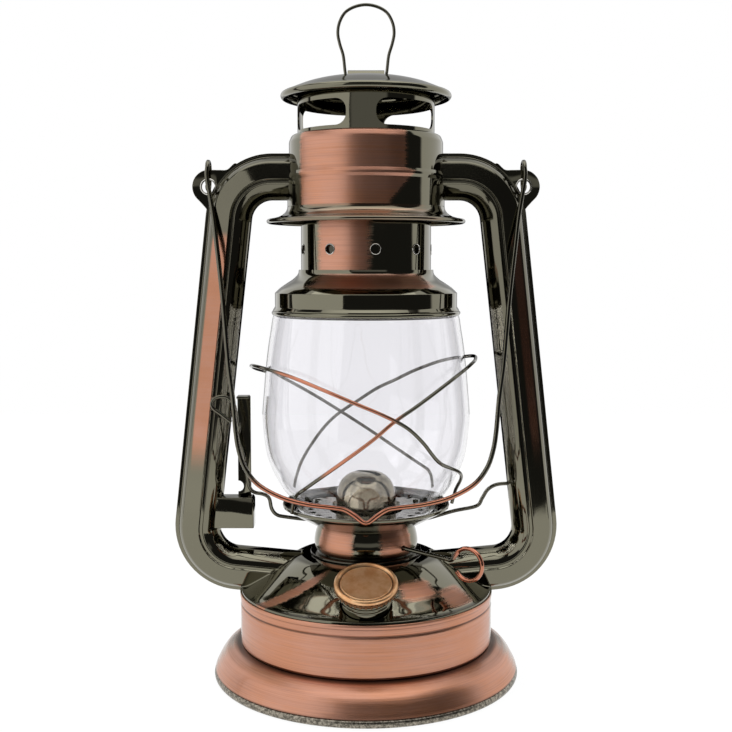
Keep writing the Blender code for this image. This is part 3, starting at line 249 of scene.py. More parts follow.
@dataclass(frozen=True)
class Plating:
    """Black nickel mirror, brushed through to copper where the points' copper value says, and near black with
    painted shade where their patina_and_shade value says.
    """

    name: str
    nickel: Colour = (0.180, 0.170, 0.122)
    copper: Colour = (0.60, 0.30, 0.205)
    orange: Colour = (0.60, 0.27, 0.155)
    brushed: float = 0.36
    mirror: float = 0.055
    lines: float = 1.0
    waviness: float = 0.35

    def material(self) -> bpy.types.Material:
        """Build the material once."""
        found = bpy.data.materials.get(self.name)
        if found:
            return found
        shader = Shader(self.name)
        fine = shader.noise(shader.scaled(26.0, 26.0, 3400.0), 2.0, 0.6)
        coarse = shader.noise(shader.scaled(13.0, 13.0, 1150.0), 3.0, 0.6)
        cloud = shader.noise(shader.scaled(38.0, 38.0, 60.0), 3.0, 0.55)
        edge = shader.attribute("copper")
        streaks = (coarse - 0.5) * (edge * (1.0 - edge)) * 3.2 * self.lines
        copper = shader.ramp(edge + streaks, 0.12, 0.88)
        tone = shader.ramp(cloud + (coarse - 0.5) * 0.5, 0.35, 0.70)
        plate = shader.mix(tone, self.copper, self.orange)
        worn = shader.mix((fine - 0.42).clamped() * (0.7 * self.lines), plate, (0.13, 0.06, 0.045))
        blend = shader.mix(copper, self.nickel, worn)
        # Painted shade: the point attribute read here turns the colour near black in creases, at joints and
        # under other parts.
        dark = shader.attribute("patina_and_shade")
        colour = shader.mix(dark * (0.75 + (cloud - 0.5) * 0.5), blend, (0.022, 0.018, 0.014))
        rough = self.mirror + copper * (self.brushed - self.mirror + (fine - 0.5) * 0.12) + dark * 0.12
        ripple = shader.noise(shader.scaled(90.0, 90.0, 90.0), 1.0)
        height = (fine * 0.6 + coarse * 0.7) * copper * self.lines
        wavy = shader.bump(ripple, self.waviness, 0.00022)
        normal = shader.add("ShaderNodeBump", {}, {"Height": height, "Strength": 0.55,
                                                    "Distance": 0.00012, "Normal": wavy})
        return shader.finish(Base_Color=colour, Metallic=1.0, Roughness=rough, Normal=normal,
                             Coat_Weight=0.25, Coat_Roughness=0.04)


@dataclass(frozen=True)
class FillerCopper:
    """Bright orange copper of the filler cap, with brushing round its axis and painted shade in its recesses.
    """

    name: str = "filler_copper"
    colour: Colour = (0.93, 0.58, 0.31)
    deep: Colour = (0.74, 0.36, 0.15)

    def material(self) -> bpy.types.Material:
        """Build the material."""
        shader = Shader(self.name)
        cloud = shader.noise(shader.scaled(190.0, 190.0, 190.0), 3.0, 0.6)
        grain = shader.noise(shader.scaled(2600.0, 500.0, 500.0), 2.0, 0.6)
        # Painted shade: the point attribute read here turns the colour near black in the groove and under the
        # rim.
        dark = shader.attribute("patina_and_shade")
        tone = shader.mix(shader.ramp(cloud, 0.35, 0.72), self.colour, self.deep)
        colour = shader.mix((dark * 0.93).clamped(), tone, (0.035, 0.02, 0.012))
        normal = shader.bump(grain, 0.25, 0.0001)
        return shader.finish(Base_Color=colour, Metallic=1.0, Roughness=0.42 + (cloud - 0.5) * 0.12,
                             Normal=normal, Coat_Weight=0.2, Coat_Roughness=0.08)


@dataclass(frozen=True)
class PlainMetal:
    """Plain metal with fine wear, for small and hidden pieces."""

    name: str
    colour: Colour
    roughness: float = 0.18

    def material(self) -> bpy.types.Material:
        """Build the material once."""
        found = bpy.data.materials.get(self.name)
        if found:
            return found
        shader = Shader(self.name)
        cloud = shader.noise(shader.scaled(240.0, 240.0, 240.0), 4.0, 0.6)
        shade = tuple(part * 0.55 for part in self.colour)
        colour = shader.mix(shader.ramp(cloud, 0.4, 0.75), self.colour, shade)
        rough = self.roughness + (cloud - 0.5) * 0.14
        normal = shader.bump(cloud, 0.12, 0.0001)
        return shader.finish(Base_Color=colour, Metallic=1.0, Roughness=rough, Normal=normal)


@dataclass(frozen=True)
class HemMetal:
    """Mottled grey of the rolled foot edge."""

    name: str = "foot_hem"

    def material(self) -> bpy.types.Material:
        """Build the material."""
        shader = Shader(self.name)
        grit = shader.noise(shader.scaled(900.0, 900.0, 900.0), 3.0, 0.7)
        colour = shader.mix(shader.ramp(grit, 0.38, 0.66), (0.11, 0.10, 0.08), (0.42, 0.38, 0.31))
        normal = shader.bump(grit, 0.5, 0.0001)
        return shader.finish(Base_Color=colour, Metallic=1.0, Roughness=0.34, Normal=normal)


@dataclass(frozen=True)
class ClearGlass:
    """Clear blown glass with faint waves."""

    name: str = "clear_glass"

    def material(self) -> bpy.types.Material:
        """Build the material."""
        shader = Shader(self.name)
        wave = shader.noise(shader.scaled(45.0, 45.0, 22.0), 1.0)
        normal = shader.bump(wave, 0.12, 0.0004)
        return shader.finish(Base_Color=(0.915, 0.91, 0.93, 1.0), Metallic=0.0, Roughness=0.0,
                             IOR=1.45, Transmission_Weight=1.0, Normal=normal)


@dataclass(frozen=True)
class Cotton:
    """Woven cotton tape."""

    name: str = "wick_cotton"

    def material(self) -> bpy.types.Material:
        """Build the material."""
        shader = Shader(self.name)
        weave = shader.add("ShaderNodeTexWave", {"bands_direction": "Z"},
                           {"Vector": shader.place, "Scale": 420.0, "Distortion": 1.5})
        ribs = shader.add("ShaderNodeTexWave", {"bands_direction": "X"},
                          {"Vector": shader.place, "Scale": 420.0, "Distortion": 1.0})
        height = weave * 0.5 + ribs * 0.5
        colour = shader.mix(height, (0.55, 0.50, 0.42), (0.84, 0.81, 0.74))
        return shader.finish(Base_Color=colour, Roughness=0.9, Normal=shader.bump(height, 0.6, 0.0003))


@dataclass(frozen=True)
class Rubber:
    """Black rubber washer."""

    name: str = "washer_rubber"

    def material(self) -> bpy.types.Material:
        """Build the material."""
        shader = Shader(self.name)
        grain = shader.noise(shader.scaled(700.0, 700.0, 700.0), 3.0)
        colour = shader.mix(grain, (0.02, 0.02, 0.02), (0.06, 0.06, 0.055))
        return shader.finish(Base_Color=colour, Roughness=0.6, Normal=shader.bump(grain, 0.3, 0.0001))


TURNED = Plating("brushed_plating")
SMOOTH = Plating("smooth_plating", lines=0.15, brushed=0.16)
WIRE = Plating("wire_plating", nickel=(0.125, 0.118, 0.088), copper=(0.50, 0.19, 0.115),
               orange=(0.50, 0.22, 0.13), lines=0.0, brushed=0.14, waviness=0.1)
STEEL = PlainMetal("burner_steel", (0.30, 0.27, 0.20), 0.12)
BRIGHT = PlainMetal("bright_edge", (0.75, 0.73, 0.68), 0.2)


# Curves and meshes

def lerp(low: float, high: float, share: float) -> float:
    """Value at a share of the way."""
    return low + (high - low) * share


def filleted(corners: Sequence[Corner], steps: int = 6) -> list[Point]:
    """Line through corners of (radius from the axis, height, fillet), rounded at each.

    Args:
        corners: the corners, in millimetres.
        steps: segments of each rounding.

    Returns:
        Points in millimetres.
    """
    line: list[Point] = [corners[0][:2]]
    for before, corner, after in zip(corners, corners[1:], corners[2:]):
        middle = Vector(corner[:2])
        one = (Vector(before[:2]) - middle).normalized()
        two = (Vector(after[:2]) - middle).normalized()
        angle = one.angle(two)
        if corner[2] <= 0.0 or angle > math.pi - 0.02:
            line.append(corner[:2])
            continue
        half = angle / 2
        centre = middle + (one + two).normalized() * (corner[2] / math.sin(half))
        start = middle + one * (corner[2] / math.tan(half)) - centre
        end = middle + two * (corner[2] / math.tan(half)) - centre
        sweep = start.angle(end)
        for step in range(steps + 1):
            t = step / steps
            arc = (math.sin((1 - t) * sweep) * start + math.sin(t * sweep) * end) / math.sin(sweep)
            line.append(tuple(centre + arc))
    line.append(corners[-1][:2])
    return line


def spline(points: Sequence[Sequence[float]], spacing: float, closed: bool = False) -> list[Vector]:
    """Evenly spaced points on the smooth curve through the given ones.

    Args:
        points: points of two or three numbers.
        spacing: wanted distance between points, in the points' unit.
        closed: whether the curve runs back to its start.

    Returns:
        The points of the curve.
    """
    knots = [Vector(p) for p in points]
    count = len(knots)
    spans = count if closed else count - 1

    def at(index: int) -> Vector:
        """Knot by index, held at the ends or wrapped."""
        return knots[index % count] if closed else knots[min(max(index, 0), count - 1)]

    dense = []
    for span in range(spans):
        a, b, c, d = (at(span + k) for k in (-1, 0, 1, 2))
        for step in range(24):
            t = step / 24
            dense.append(0.5 * (2 * b + (c - a) * t + (2 * a - 5 * b + 4 * c - d) * t ** 2
                                + (3 * b - 3 * c + d - a) * t ** 3))
    dense.append(at(spans))
    lengths = [0.0]
    for before, after in zip(dense, dense[1:]):
        lengths.append(lengths[-1] + (after - before).length)
    pieces = max(round(lengths[-1] / spacing), 2)
    line = []
    index = 0
    for step in range(pieces + (0 if closed else 1)):
        wanted = lengths[-1] * step / pieces
        while index < len(lengths) - 2 and lengths[index + 1] < wanted:
            index += 1
        span = max(lengths[index + 1] - lengths[index], 1e-9)
        line.append(dense[index].lerp(dense[index + 1], min((wanted - lengths[index]) / span, 1.0)))
    return line


def curve(points: Sequence[Point], spacing: float) -> list[Point]:
    """Smooth line of a section through some of its points."""
    return [tuple(p) for p in spline(points, spacing)]


def rolled(middle: Point, radii: Point, start: float, end: float, steps: int) -> list[Point]:
    """Round line of a rolled edge.

    Args:
        middle: its centre.
        radii: its half width and half height.
        start: where it starts, in degrees from outwards towards up.
        end: where it ends.
        steps: its segments.

    Returns:
        Points in the unit of the radii.
    """
    angles = [math.radians(lerp(start, end, step / steps)) for step in range(steps + 1)]
    return [(middle[0] + radii[0] * math.cos(a), middle[1] + radii[1] * math.sin(a)) for a in angles]


def divided(line: Sequence[Point], longest: float) -> list[Point]:
    """The line with its long segments split."""
    result = [tuple(line[0])]
    for before, after in zip(line, line[1:]):
        count = max(math.ceil(math.dist(before, after) / longest), 1)
        result += [(lerp(before[0], after[0], step / count), lerp(before[1], after[1], step / count))
                   for step in range(1, count + 1)]
    return result


def walled(line: Sequence[Point], wall: float) -> list[Point]:
    """Closed section of a sheet: the line and its offset to the right of its run."""
    inner = []
    for index, point in enumerate(line):
        before = Vector(line[max(index - 1, 0)])
        after = Vector(line[min(index + 1, len(line) - 1)])
        here = Vector(point)
        one = (here - before).normalized() if index else (after - here).normalized()
        two = (after - here).normalized() if index < len(line) - 1 else one
        normal = Vector((one.y + two.y, -one.x - two.x)).normalized()
        spread = max(normal.dot(Vector((one.y, -one.x))), 0.5)
        moved = here + normal * (wall / spread)
        inner.append((0.0 if point[0] == 0 else max(moved.x, 0.01), moved.y))
    return [tuple(p) for p in line] + inner[::-1]


def link(name: str, mesh: bpy.types.Mesh) -> bpy.types.Object:
    """Object of a mesh, in the scene."""
    obj = bpy.data.objects.new(name, mesh)
    bpy.context.scene.collection.objects.link(obj)
    return obj


def tidy(obj: bpy.types.Object, sharp: float = 32.0, merge: float = 1e-7) -> bpy.types.Object:
    """Merge doubles, turn faces outwards and smooth all but the sharp edges."""
    work = bmesh.new()
    work.from_mesh(obj.data)
    bmesh.ops.remove_doubles(work, verts=work.verts, dist=merge)
    bmesh.ops.dissolve_degenerate(work, edges=work.edges, dist=merge)
    bmesh.ops.recalc_face_normals(work, faces=work.faces)
    if work.calc_volume(signed=True) < 0:
        bmesh.ops.reverse_faces(work, faces=work.faces)
    work.to_mesh(obj.data)
    work.free()
    obj.data.shade_smooth()
    obj.data.set_sharp_from_angle(angle=math.radians(sharp))
    return obj


def turned(name: str, section: Sequence[Point], steps: int = TURN_STEPS) -> bpy.types.Object:
    """Solid of revolution of a closed section.

    Args:
        name: the piece's name.
        section: ring of (radius, height) in millimetres.
        steps: segments round the axis.

    Returns:
        The piece.
    """
    verts: list[tuple[float, float, float]] = []
    rings: list[list[int]] = []
    for radius, height in section:
        if radius < 1e-6:
            verts.append((0.0, 0.0, height * MM))
            rings.append([len(verts) - 1] * steps)
            continue
        start = len(verts)
        for step in range(steps):
            angle = 2 * math.pi * step / steps
            verts.append((radius * MM * math.sin(angle), -radius * MM * math.cos(angle), height * MM))
        rings.append(list(range(start, start + steps)))
    faces = []
    for one, two in zip(rings, rings[1:] + rings[:1]):
        for step in range(steps):
            following = (step + 1) % steps
            ring = [one[step], one[following], two[following], two[step]]
            face = list(dict.fromkeys(ring))
            if len(face) > 2:
                faces.append(face)
    mesh = bpy.data.meshes.new(name)
    mesh.from_pydata(verts, [], faces)
    return tidy(link(name, mesh))


def moved(obj: bpy.types.Object, matrix: Matrix) -> bpy.types.Object:
    """Put a piece's place in its mesh."""
    obj.data.transform(matrix)
    return obj


def evaluated(obj: bpy.types.Object) -> bpy.types.Object:
    """Turn a piece's modifiers into its mesh."""
    bpy.context.view_layer.update()
    depsgraph = bpy.context.evaluated_depsgraph_get()
    mesh = bpy.data.meshes.new_from_object(obj.evaluated_get(depsgraph))
    obj.modifiers.clear()
    obj.data = mesh
    mesh.name = obj.name
    return obj


def cut(obj: bpy.types.Object, cutters: Sequence[bpy.types.Object],
        operation: str = "DIFFERENCE") -> bpy.types.Object:
    """Cut or join solids into a piece, and delete them."""
    for cutter in cutters:
        boolean = obj.modifiers.new("Cut", "BOOLEAN")
        boolean.operation = operation
        boolean.solver = "EXACT"
        boolean.object = cutter
    evaluated(obj)
    for cutter in cutters:
        bpy.data.objects.remove(cutter, do_unlink=True)
    return tidy(obj)


def extruded(name: str, ring: Sequence[Point], depth: float, bevel: float = 0.0) -> bpy.types.Object:
    """Flat plate of an outline in X and Z, extruded along Y about zero, in millimetres.

    Args:
        name: the piece's name.
        ring: the outline.
        depth: whole thickness.
        bevel: rounding of its edges.

    Returns:
        The piece.
    """
    mesh = bpy.data.meshes.new(name)
    work = bmesh.new()
    front = [work.verts.new((x * MM, -depth / 2 * MM, z * MM)) for x, z in ring]
    back = [work.verts.new((x * MM, depth / 2 * MM, z * MM)) for x, z in ring]
    work.faces.new(front)
    work.faces.new(back[::-1])
    for i in range(len(ring)):
        j = (i + 1) % len(ring)
        work.faces.new((front[j], front[i], back[i], back[j]))
    bmesh.ops.recalc_face_normals(work, faces=work.faces)
    work.to_mesh(mesh)
    work.free()
    obj = link(name, mesh)
    if bevel:
        rounding = obj.modifiers.new("Round", "BEVEL")
        rounding.width = bevel * MM
        rounding.segments = 3
        rounding.limit_method = "ANGLE"
        rounding.angle_limit = math.radians(40)
        evaluated(obj)
    return tidy(obj)


def block(name: str, low: Sequence[float], high: Sequence[float], bevel: float = 0.0) -> bpy.types.Object:
    """Box between two corners in millimetres, with rounded edges."""
    ring = [(low[0], low[2]), (high[0], low[2]), (high[0], high[2]), (low[0], high[2])]
    obj = extruded(name, ring, high[1] - low[1], bevel)
    return moved(obj, Matrix.Translation((0, (low[1] + high[1]) / 2 * MM, 0)))


def bar(name: str, start: Vector, end: Vector, radius: float, sides: int = 32) -> bpy.types.Object:
    """Round bar between two points in metres, of a radius in millimetres."""
    mesh = bpy.data.meshes.new(name)
    work = bmesh.new()
    bmesh.ops.create_cone(work, cap_ends=True, segments=sides, radius1=radius * MM,
                          radius2=radius * MM, depth=(end - start).length)
    work.to_mesh(mesh)
    work.free()
    turn = (end - start).to_track_quat("Z", "Y").to_matrix().to_4x4()
    return moved(link(name, mesh), Matrix.Translation((start + end) / 2) @ turn)


def joined(name: str, pieces: Sequence[bpy.types.Object]) -> bpy.types.Object:
    """One object from several, as they are."""
    work = bmesh.new()
    for piece in pieces:
        work.from_mesh(piece.data)
        bpy.data.objects.remove(piece, do_unlink=True)
    mesh = bpy.data.meshes.new(name)
    work.to_mesh(mesh)
    work.free()
    mesh.shade_smooth()
    mesh.set_sharp_from_angle(angle=math.radians(32))
    return link(name, mesh)


# Geometry Nodes

class GeometryTree(Tree):
    """Builder of one geometry tree with named inputs."""

    def __init__(self, name: str, whole: Sequence[str], numbers: Sequence[str]) -> None:
        """Make the tree, with a material as its last input.

        Args:
            name: the tree's name.
            whole: names of its whole-number inputs.
            numbers: names of its other inputs.
        """
        group = bpy.data.node_groups.new(name, "GeometryNodeTree")
        super().__init__(group)
        self.group = group
        group.interface.new_socket("Geometry", in_out="OUTPUT", socket_type="NodeSocketGeometry")
        group.interface.new_socket("Geometry", in_out="INPUT", socket_type="NodeSocketGeometry")
        kinds = dict.fromkeys(whole, "Int") | dict.fromkeys(numbers, "Float") | {"Material": "Material"}
        for label, kind in kinds.items():
            group.interface.new_socket(label, in_out="INPUT", socket_type=f"NodeSocket{kind}")
        self.entry = group.nodes.new("NodeGroupInput")

    def read(self, label: str) -> Socket:
        """One of the tree's inputs."""
        return Socket(self, self.entry.outputs[label])

    def close(self, geometry: Socket) -> None:
        """End in Realize Instances and Set Material."""
        real = self.add("GeometryNodeRealizeInstances", {}, {"Geometry": geometry})
        dressed = self.add("GeometryNodeSetMaterial", {},
                           {"Geometry": real, "Material": self.read("Material")})
        self.add("NodeGroupOutput", {}, {"Geometry": dressed})

    def apply(self, obj: bpy.types.Object, values: dict[str, Any]) -> bpy.types.Object:
        """Run the tree on a piece and keep the plain mesh."""
        modifier = obj.modifiers.new(self.group.name, "NODES")
        modifier.node_group = self.group
        for item in self.group.interface.items_tree:
            if item.in_out == "INPUT" and item.name in values:
                modifier[item.identifier] = values[item.name]
        return evaluated(obj)


class Repeats:
    """The lantern's geometry trees: swept wire, punched rings of holes and rings of lips."""

    def __init__(self) -> None:
        """Build the trees."""
        self.wire = self._wire_tree()
        self.radial = self._hole_tree("radial_holes", True)
        self.upright = self._hole_tree("upright_holes", False)
        self.lips = self._lip_tree()

    @staticmethod
    def _wire_tree() -> GeometryTree:
        """Tree that sweeps a round section along a line of edges."""
        tree = GeometryTree("swept_wire", ["Sides"], ["Radius"])
        curve = tree.add("GeometryNodeMeshToCurve", {}, {"Mesh": tree.read("Geometry")})
        circle = tree.add("GeometryNodeCurvePrimitiveCircle", {},
                          {"Radius": tree.read("Radius"), "Resolution": tree.read("Sides")})
        swept = tree.add("GeometryNodeCurveToMesh", {},
                         {"Curve": curve, "Profile Curve": circle, "Fill Caps": True})
        tree.close(swept)
        return tree

    @staticmethod
    def _ring_points(tree: GeometryTree) -> Socket:
        """Points on a level circle."""
        circle = tree.add("GeometryNodeMeshCircle", {},
                          {"Vertices": tree.read("Count"), "Radius": tree.read("Ring Radius")})
        turn = tree.add("ShaderNodeCombineXYZ", {}, {"Z": tree.read("Turn")})
        lift = tree.add("ShaderNodeCombineXYZ", {}, {"Z": tree.read("Height")})
        return tree.add("GeometryNodeTransform", {},
                        {"Geometry": circle, "Translation": lift, "Rotation": turn})

    @staticmethod
    def _outward(tree: GeometryTree) -> Socket:
        """Rotation that points an instance's Z away from the axis."""
        place = tree.add("GeometryNodeInputPosition")
        level = tree.add("ShaderNodeVectorMath", {"operation": "MULTIPLY"}, {0: place, 1: (1.0, 1.0, 0.0)})
        return tree.add("FunctionNodeAlignRotationToVector", {"axis": "Z"}, {"Vector": level})

    @classmethod
    def _hole_tree(cls, name: str, radial: bool) -> GeometryTree:
        """Tree that punches a ring of round holes in its geometry."""
        tree = GeometryTree(name, ["Count"], ["Ring Radius", "Height", "Turn", "Hole Radius", "Reach"])
        punch = tree.add("GeometryNodeMeshCylinder", {},
                         {"Vertices": 40, "Radius": tree.read("Hole Radius"), "Depth": tree.read("Reach")})
        sockets: dict[str | int, Any] = {"Points": cls._ring_points(tree), "Instance": punch}
        if radial:
            sockets["Rotation"] = cls._outward(tree)
        punches = tree.add("GeometryNodeInstanceOnPoints", {}, sockets)
        real = tree.add("GeometryNodeRealizeInstances", {}, {"Geometry": punches})
        holed = tree.add("GeometryNodeMeshBoolean", {"operation": "DIFFERENCE", "solver": "EXACT"},
                         {"Mesh 1": tree.read("Geometry"), "Mesh 2": real})
        tree.close(holed)
        return tree

    @classmethod
    def _lip_tree(cls) -> GeometryTree:
        """Tree that sets a thin round lip at each hole of a radial ring."""
        tree = GeometryTree("hole_lips", ["Count"],
                            ["Ring Radius", "Height", "Turn", "Lip Radius", "Wire Radius"])
        loop = tree.add("GeometryNodeCurvePrimitiveCircle", {},
                        {"Radius": tree.read("Lip Radius"), "Resolution": 40})
        section = tree.add("GeometryNodeCurvePrimitiveCircle", {},
                           {"Radius": tree.read("Wire Radius"), "Resolution": 8})
        lip = tree.add("GeometryNodeCurveToMesh", {}, {"Curve": loop, "Profile Curve": section})
        lips = tree.add("GeometryNodeInstanceOnPoints", {},
                        {"Points": cls._ring_points(tree), "Instance": lip,
                         "Rotation": cls._outward(tree)})
        tree.close(lips)
        return tree


class Workshop:
    """Makes pieces and puts them on the frame."""

    def __init__(self) -> None:
        """Build the shared geometry trees."""
        self.repeats = Repeats()
        self.count = 0

    def wire(self, name: str, route: Sequence[Vector], radius: float, closed: bool = False,
             sides: int = 20) -> bpy.types.Object:
        """Round wire along a route in metres, of a radius in millimetres."""
        mesh = bpy.data.meshes.new(name)
        last = len(route)
        edges = [(i, (i + 1) % last) for i in range(last if closed else last - 1)]
        mesh.from_pydata([tuple(p) for p in route], edges, [])
        obj = link(name, mesh)
        self.repeats.wire.apply(obj, {"Radius": radius * MM, "Sides": sides, "Material": WIRE.material()})
        return tidy(obj)

    def fit(self, obj: bpy.types.Object, body: Body, finish: Finish, slot: Slot,
            nodes: Sequence[str] = (), copper: Rule | None = None,
            patina_and_shade: Rule | None = None) -> bpy.types.Object:
        """Dress a piece and put it on the frame.

        Args:
            obj: the finished piece.
            body: the body it rides on.
            finish: what it is made of.
            slot: the record's slot of its finish; not used.
            nodes: the CAD nodes it stands for.
            copper: share of copper at a point, in millimetres.
            patina_and_shade: share at a point, in millimetres, of near-black colour: dark joints, and painted
                shade in creases, in recesses and under other parts.

        Returns:
            The piece.
        """
        mesh = obj.data
        mesh.materials.clear()
        mesh.materials.append(finish.material())
        for polygon in mesh.polygons:
            polygon.material_index = 0
        for label, rule in (("copper", copper), ("patina_and_shade", patina_and_shade)):
            layer = mesh.attributes.new(label, "FLOAT", "POINT")
            if rule:
                layer.data.foreach_set("value", [rule(v.co / MM) for v in mesh.vertices])
        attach(obj, body.value)
        if nodes:
            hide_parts(*nodes)
        self.count += 1
        log.info("%s on %s: %d faces", obj.name, body.value, len(mesh.polygons))
        return obj


# Copper and patina rules

def smoothstep(value: float, low: float, high: float) -> float:
    """Smooth rise from 0 to 1 between two values."""
    t = min(max((value - low) / (high - low), 0.0), 1.0)
    return t * t * (3 - 2 * t)


def window(value: float, low: float, high: float, soft: float) -> float:
    """1 between two values with soft ends."""
    return smoothstep(value, low - soft, low + soft) * (1 - smoothstep(value, high - soft, high + soft))


def azimuth(point: Vector) -> float:
    """Degrees from the front towards the right, with the back folded onto the front."""
    return math.degrees(math.atan2(point.x, abs(point.y)))


def sector(low: float, high: float, soft: float = 7.0) -> Rule:
    """Copper in a sector of degrees from the front."""
    return lambda point: window(azimuth(point), low, high, soft)


def everywhere(value: float = 1.0) -> Rule:
    """The same share all over."""
    return lambda point: value


def near_levels(levels: Sequence[float], reach: float) -> Rule:
    """Share near some heights, for dark joints and painted shade in creases."""
    return lambda point: max(1 - smoothstep(abs(point.z - level), 0.0, reach) for level in levels)


# Sub-assemblies

@dataclass
class Base:
    """Flared foot with its hem and pan."""

    hem_h: float = 3.5
    hem_r: float = 68.85
    hem_half: float = 1.35
    hem_gap: float = 0.02
    top_z: float = 15.4
    sheet: float = 0.8

    def skirt_line(self) -> list[Point]:
        """Outer line of the flare, from the ledge down to the hem."""
        flare = [(58.4, 15.3), (59.7, 15.1), (61.4, 14.5), (64.4, 12.6), (66.5, 10.2), (68.1, 7.4),
                 (69.3, 5.1), (69.75, self.hem_h + 0.25)]
        line = [(54.0, self.top_z), (58.0, self.top_z)] + curve(flare, 0.7)
        return line + [(69.3, self.hem_h)]

    def hem_section(self) -> list[Point]:
        """Rolled hem under the flare."""
        middle = self.hem_h / 2
        return rolled((self.hem_r, middle), (self.hem_half, middle - self.hem_gap), 0, 360, 24)[:-1]

    def build(self, shop: Workshop) -> None:
        """Make the foot.

        Args:
            shop: the workshop that fits the pieces.
        """
        skirt = turned("base_skirt_dressed", walled(divided(self.skirt_line(), 2.0), self.sheet))
        # Painted shade in the steps at the ledge and above the hem, and darker over the top of the flare.
        shop.fit(skirt, Body.FRAME, TURNED, Slot.COPPER, ["base_skirt"],
                 copper=lambda p: 1.0 - 0.55 * smoothstep(abs(azimuth(p)), 66.0, 88.0),
                 patina_and_shade=lambda p: max(near_levels([self.top_z - 0.1, self.hem_h], 0.7)(p),
                                      0.3 * smoothstep(p.z, 11.6, 13.4)))
        hem = turned("base_hem", self.hem_section())
        shop.fit(hem, Body.FRAME, HemMetal(), Slot.GUNMETAL)
        pan = [(0.0, 3.9), (28.0, 3.9), (32.0, 3.0), (67.0, 3.0),
               (67.0, 2.2), (31.6, 2.2), (27.6, 3.1), (0.0, 3.1)]
        plate = turned("base_pan_dressed", pan)
        shop.fit(plate, Body.FRAME, SMOOTH, Slot.GUNMETAL, ["base_plate"])


@dataclass
class Fount:
    """Oil tank: wall, seam and dome."""

    wall_r: float = 58.0
    rim_r: float = 57.6
    foot_z: float = 15.7
    top_z: float = 37.3
    groove_z: float = 34.2
    sheet: float = 0.8
    filler_y: float = -46.3
    filler_z: float = 45.7
    filler_tilt: float = 23.0

    def dome_line(self) -> list[Point]:
        """Outer line of the dome, from the burner's hole to the rim."""
        arch = [(25.0, 56.0), (27.5, 55.9), (31.5, 55.05), (35.0, 53.5), (40.0, 50.7), (45.0, 47.6),
                (50.0, 44.3), (54.5, 41.5), (56.6, 40.7)]
        rim = filleted([(56.6, 40.7, 0), (57.5, 40.4, 0.5), (self.rim_r, 39.6, 0)])
        return [(19.5, 56.0)] + curve(arch, 1.0) + rim[1:]

    def dome_height(self, radius: float) -> float:
        """Height of the dome's surface at a distance from the axis."""
        line = self.dome_line()
        for (r0, z0), (r1, z1) in zip(line, line[1:]):
            if r0 <= radius <= r1 and r1 > r0:
                return lerp(z0, z1, (radius - r0) / (r1 - r0))
        return line[0][1] if radius < line[0][0] else -1.0

    def filler_frame(self) -> Matrix:
        """Placement of the filler's axis."""
        place = Matrix.Translation((0, self.filler_y * MM, self.filler_z * MM))
        return place @ Matrix.Rotation(math.radians(self.filler_tilt), 4, "X")

    def dome_copper(self, point: Vector) -> float:
        """Brushed patches on the dome's shoulders."""
        radius = math.hypot(point.x, point.y)
        angle = azimuth(point)
        middle = 35.0 - 0.94 * (angle + 30.0)
        left = window(angle, -56.0, -30.0, 6.0) * window(radius, middle - 4.0, middle + 4.0, 2.0)
        right = window(angle, 20.0, 41.0, 5.0) * window(radius, 39.0, 48.0, 2.5)
        side = window(angle, 41.0, 60.0, 5.0) * window(radius, 46.0, 55.0, 2.4)
        return max(left, 0.9 * right, 0.8 * side)

    def build(self, shop: Workshop) -> None:
        """Make the tank."""
        worn = sector(-78.0, 76.0, 9.0)
        wall = filleted([(0.0, self.foot_z, 0), (57.4, self.foot_z, 0.5),
                         (self.wall_r, self.foot_z + 1.2, 0.5), (self.wall_r, 33.4, 0.5),
                         (57.5, self.groove_z, 0.6), (self.wall_r, 35.0, 0.5),
                         (self.wall_r, self.top_z, 0)], 5)
        body = turned("fount_body_dressed", walled(divided(wall[::-1], 2.5), self.sheet))
        # Painted shade in the groove, and a dark joint at the foot.
        shop.fit(body, Body.FRAME, TURNED, Slot.COPPER, ["fount_body"],
                 copper=worn, patina_and_shade=near_levels([self.foot_z, self.groove_z], 0.7))
        seam = turned("fount_seam_dressed", filleted(
            [(56.6, 38.0, 0), (56.6, 37.35, 0), (58.2, 37.35, 0.3), (58.35, 38.4, 0.6), (58.2, 39.4, 0.4),
             (56.6, 39.4, 0), (56.6, 38.1, 0)], 5))
        # Painted shade under the seam's lower edge.
        shop.fit(seam, Body.FRAME, TURNED, Slot.COPPER, ["fount_seam"],
                 copper=worn, patina_and_shade=near_levels([self.top_z], 0.4))
        dome = turned("fount_dome_dressed", walled(divided(self.dome_line(), 1.6), self.sheet))
        frame = self.filler_frame()
        hole = bar("filler_hole", frame @ Vector((0, 0, -0.006)), frame @ Vector((0, 0, 0.014)), 11.2, 64)
        cut(dome, [hole])
        # Painted shade in the crease where the dome meets the seam.
        shop.fit(dome, Body.FRAME, TURNED, Slot.GUNMETAL, ["fount_dome"],
                 copper=self.dome_copper,
                 patina_and_shade=lambda p: 1 - smoothstep(abs(math.hypot(p.x, p.y) - 57.0), 0.1, 0.7))


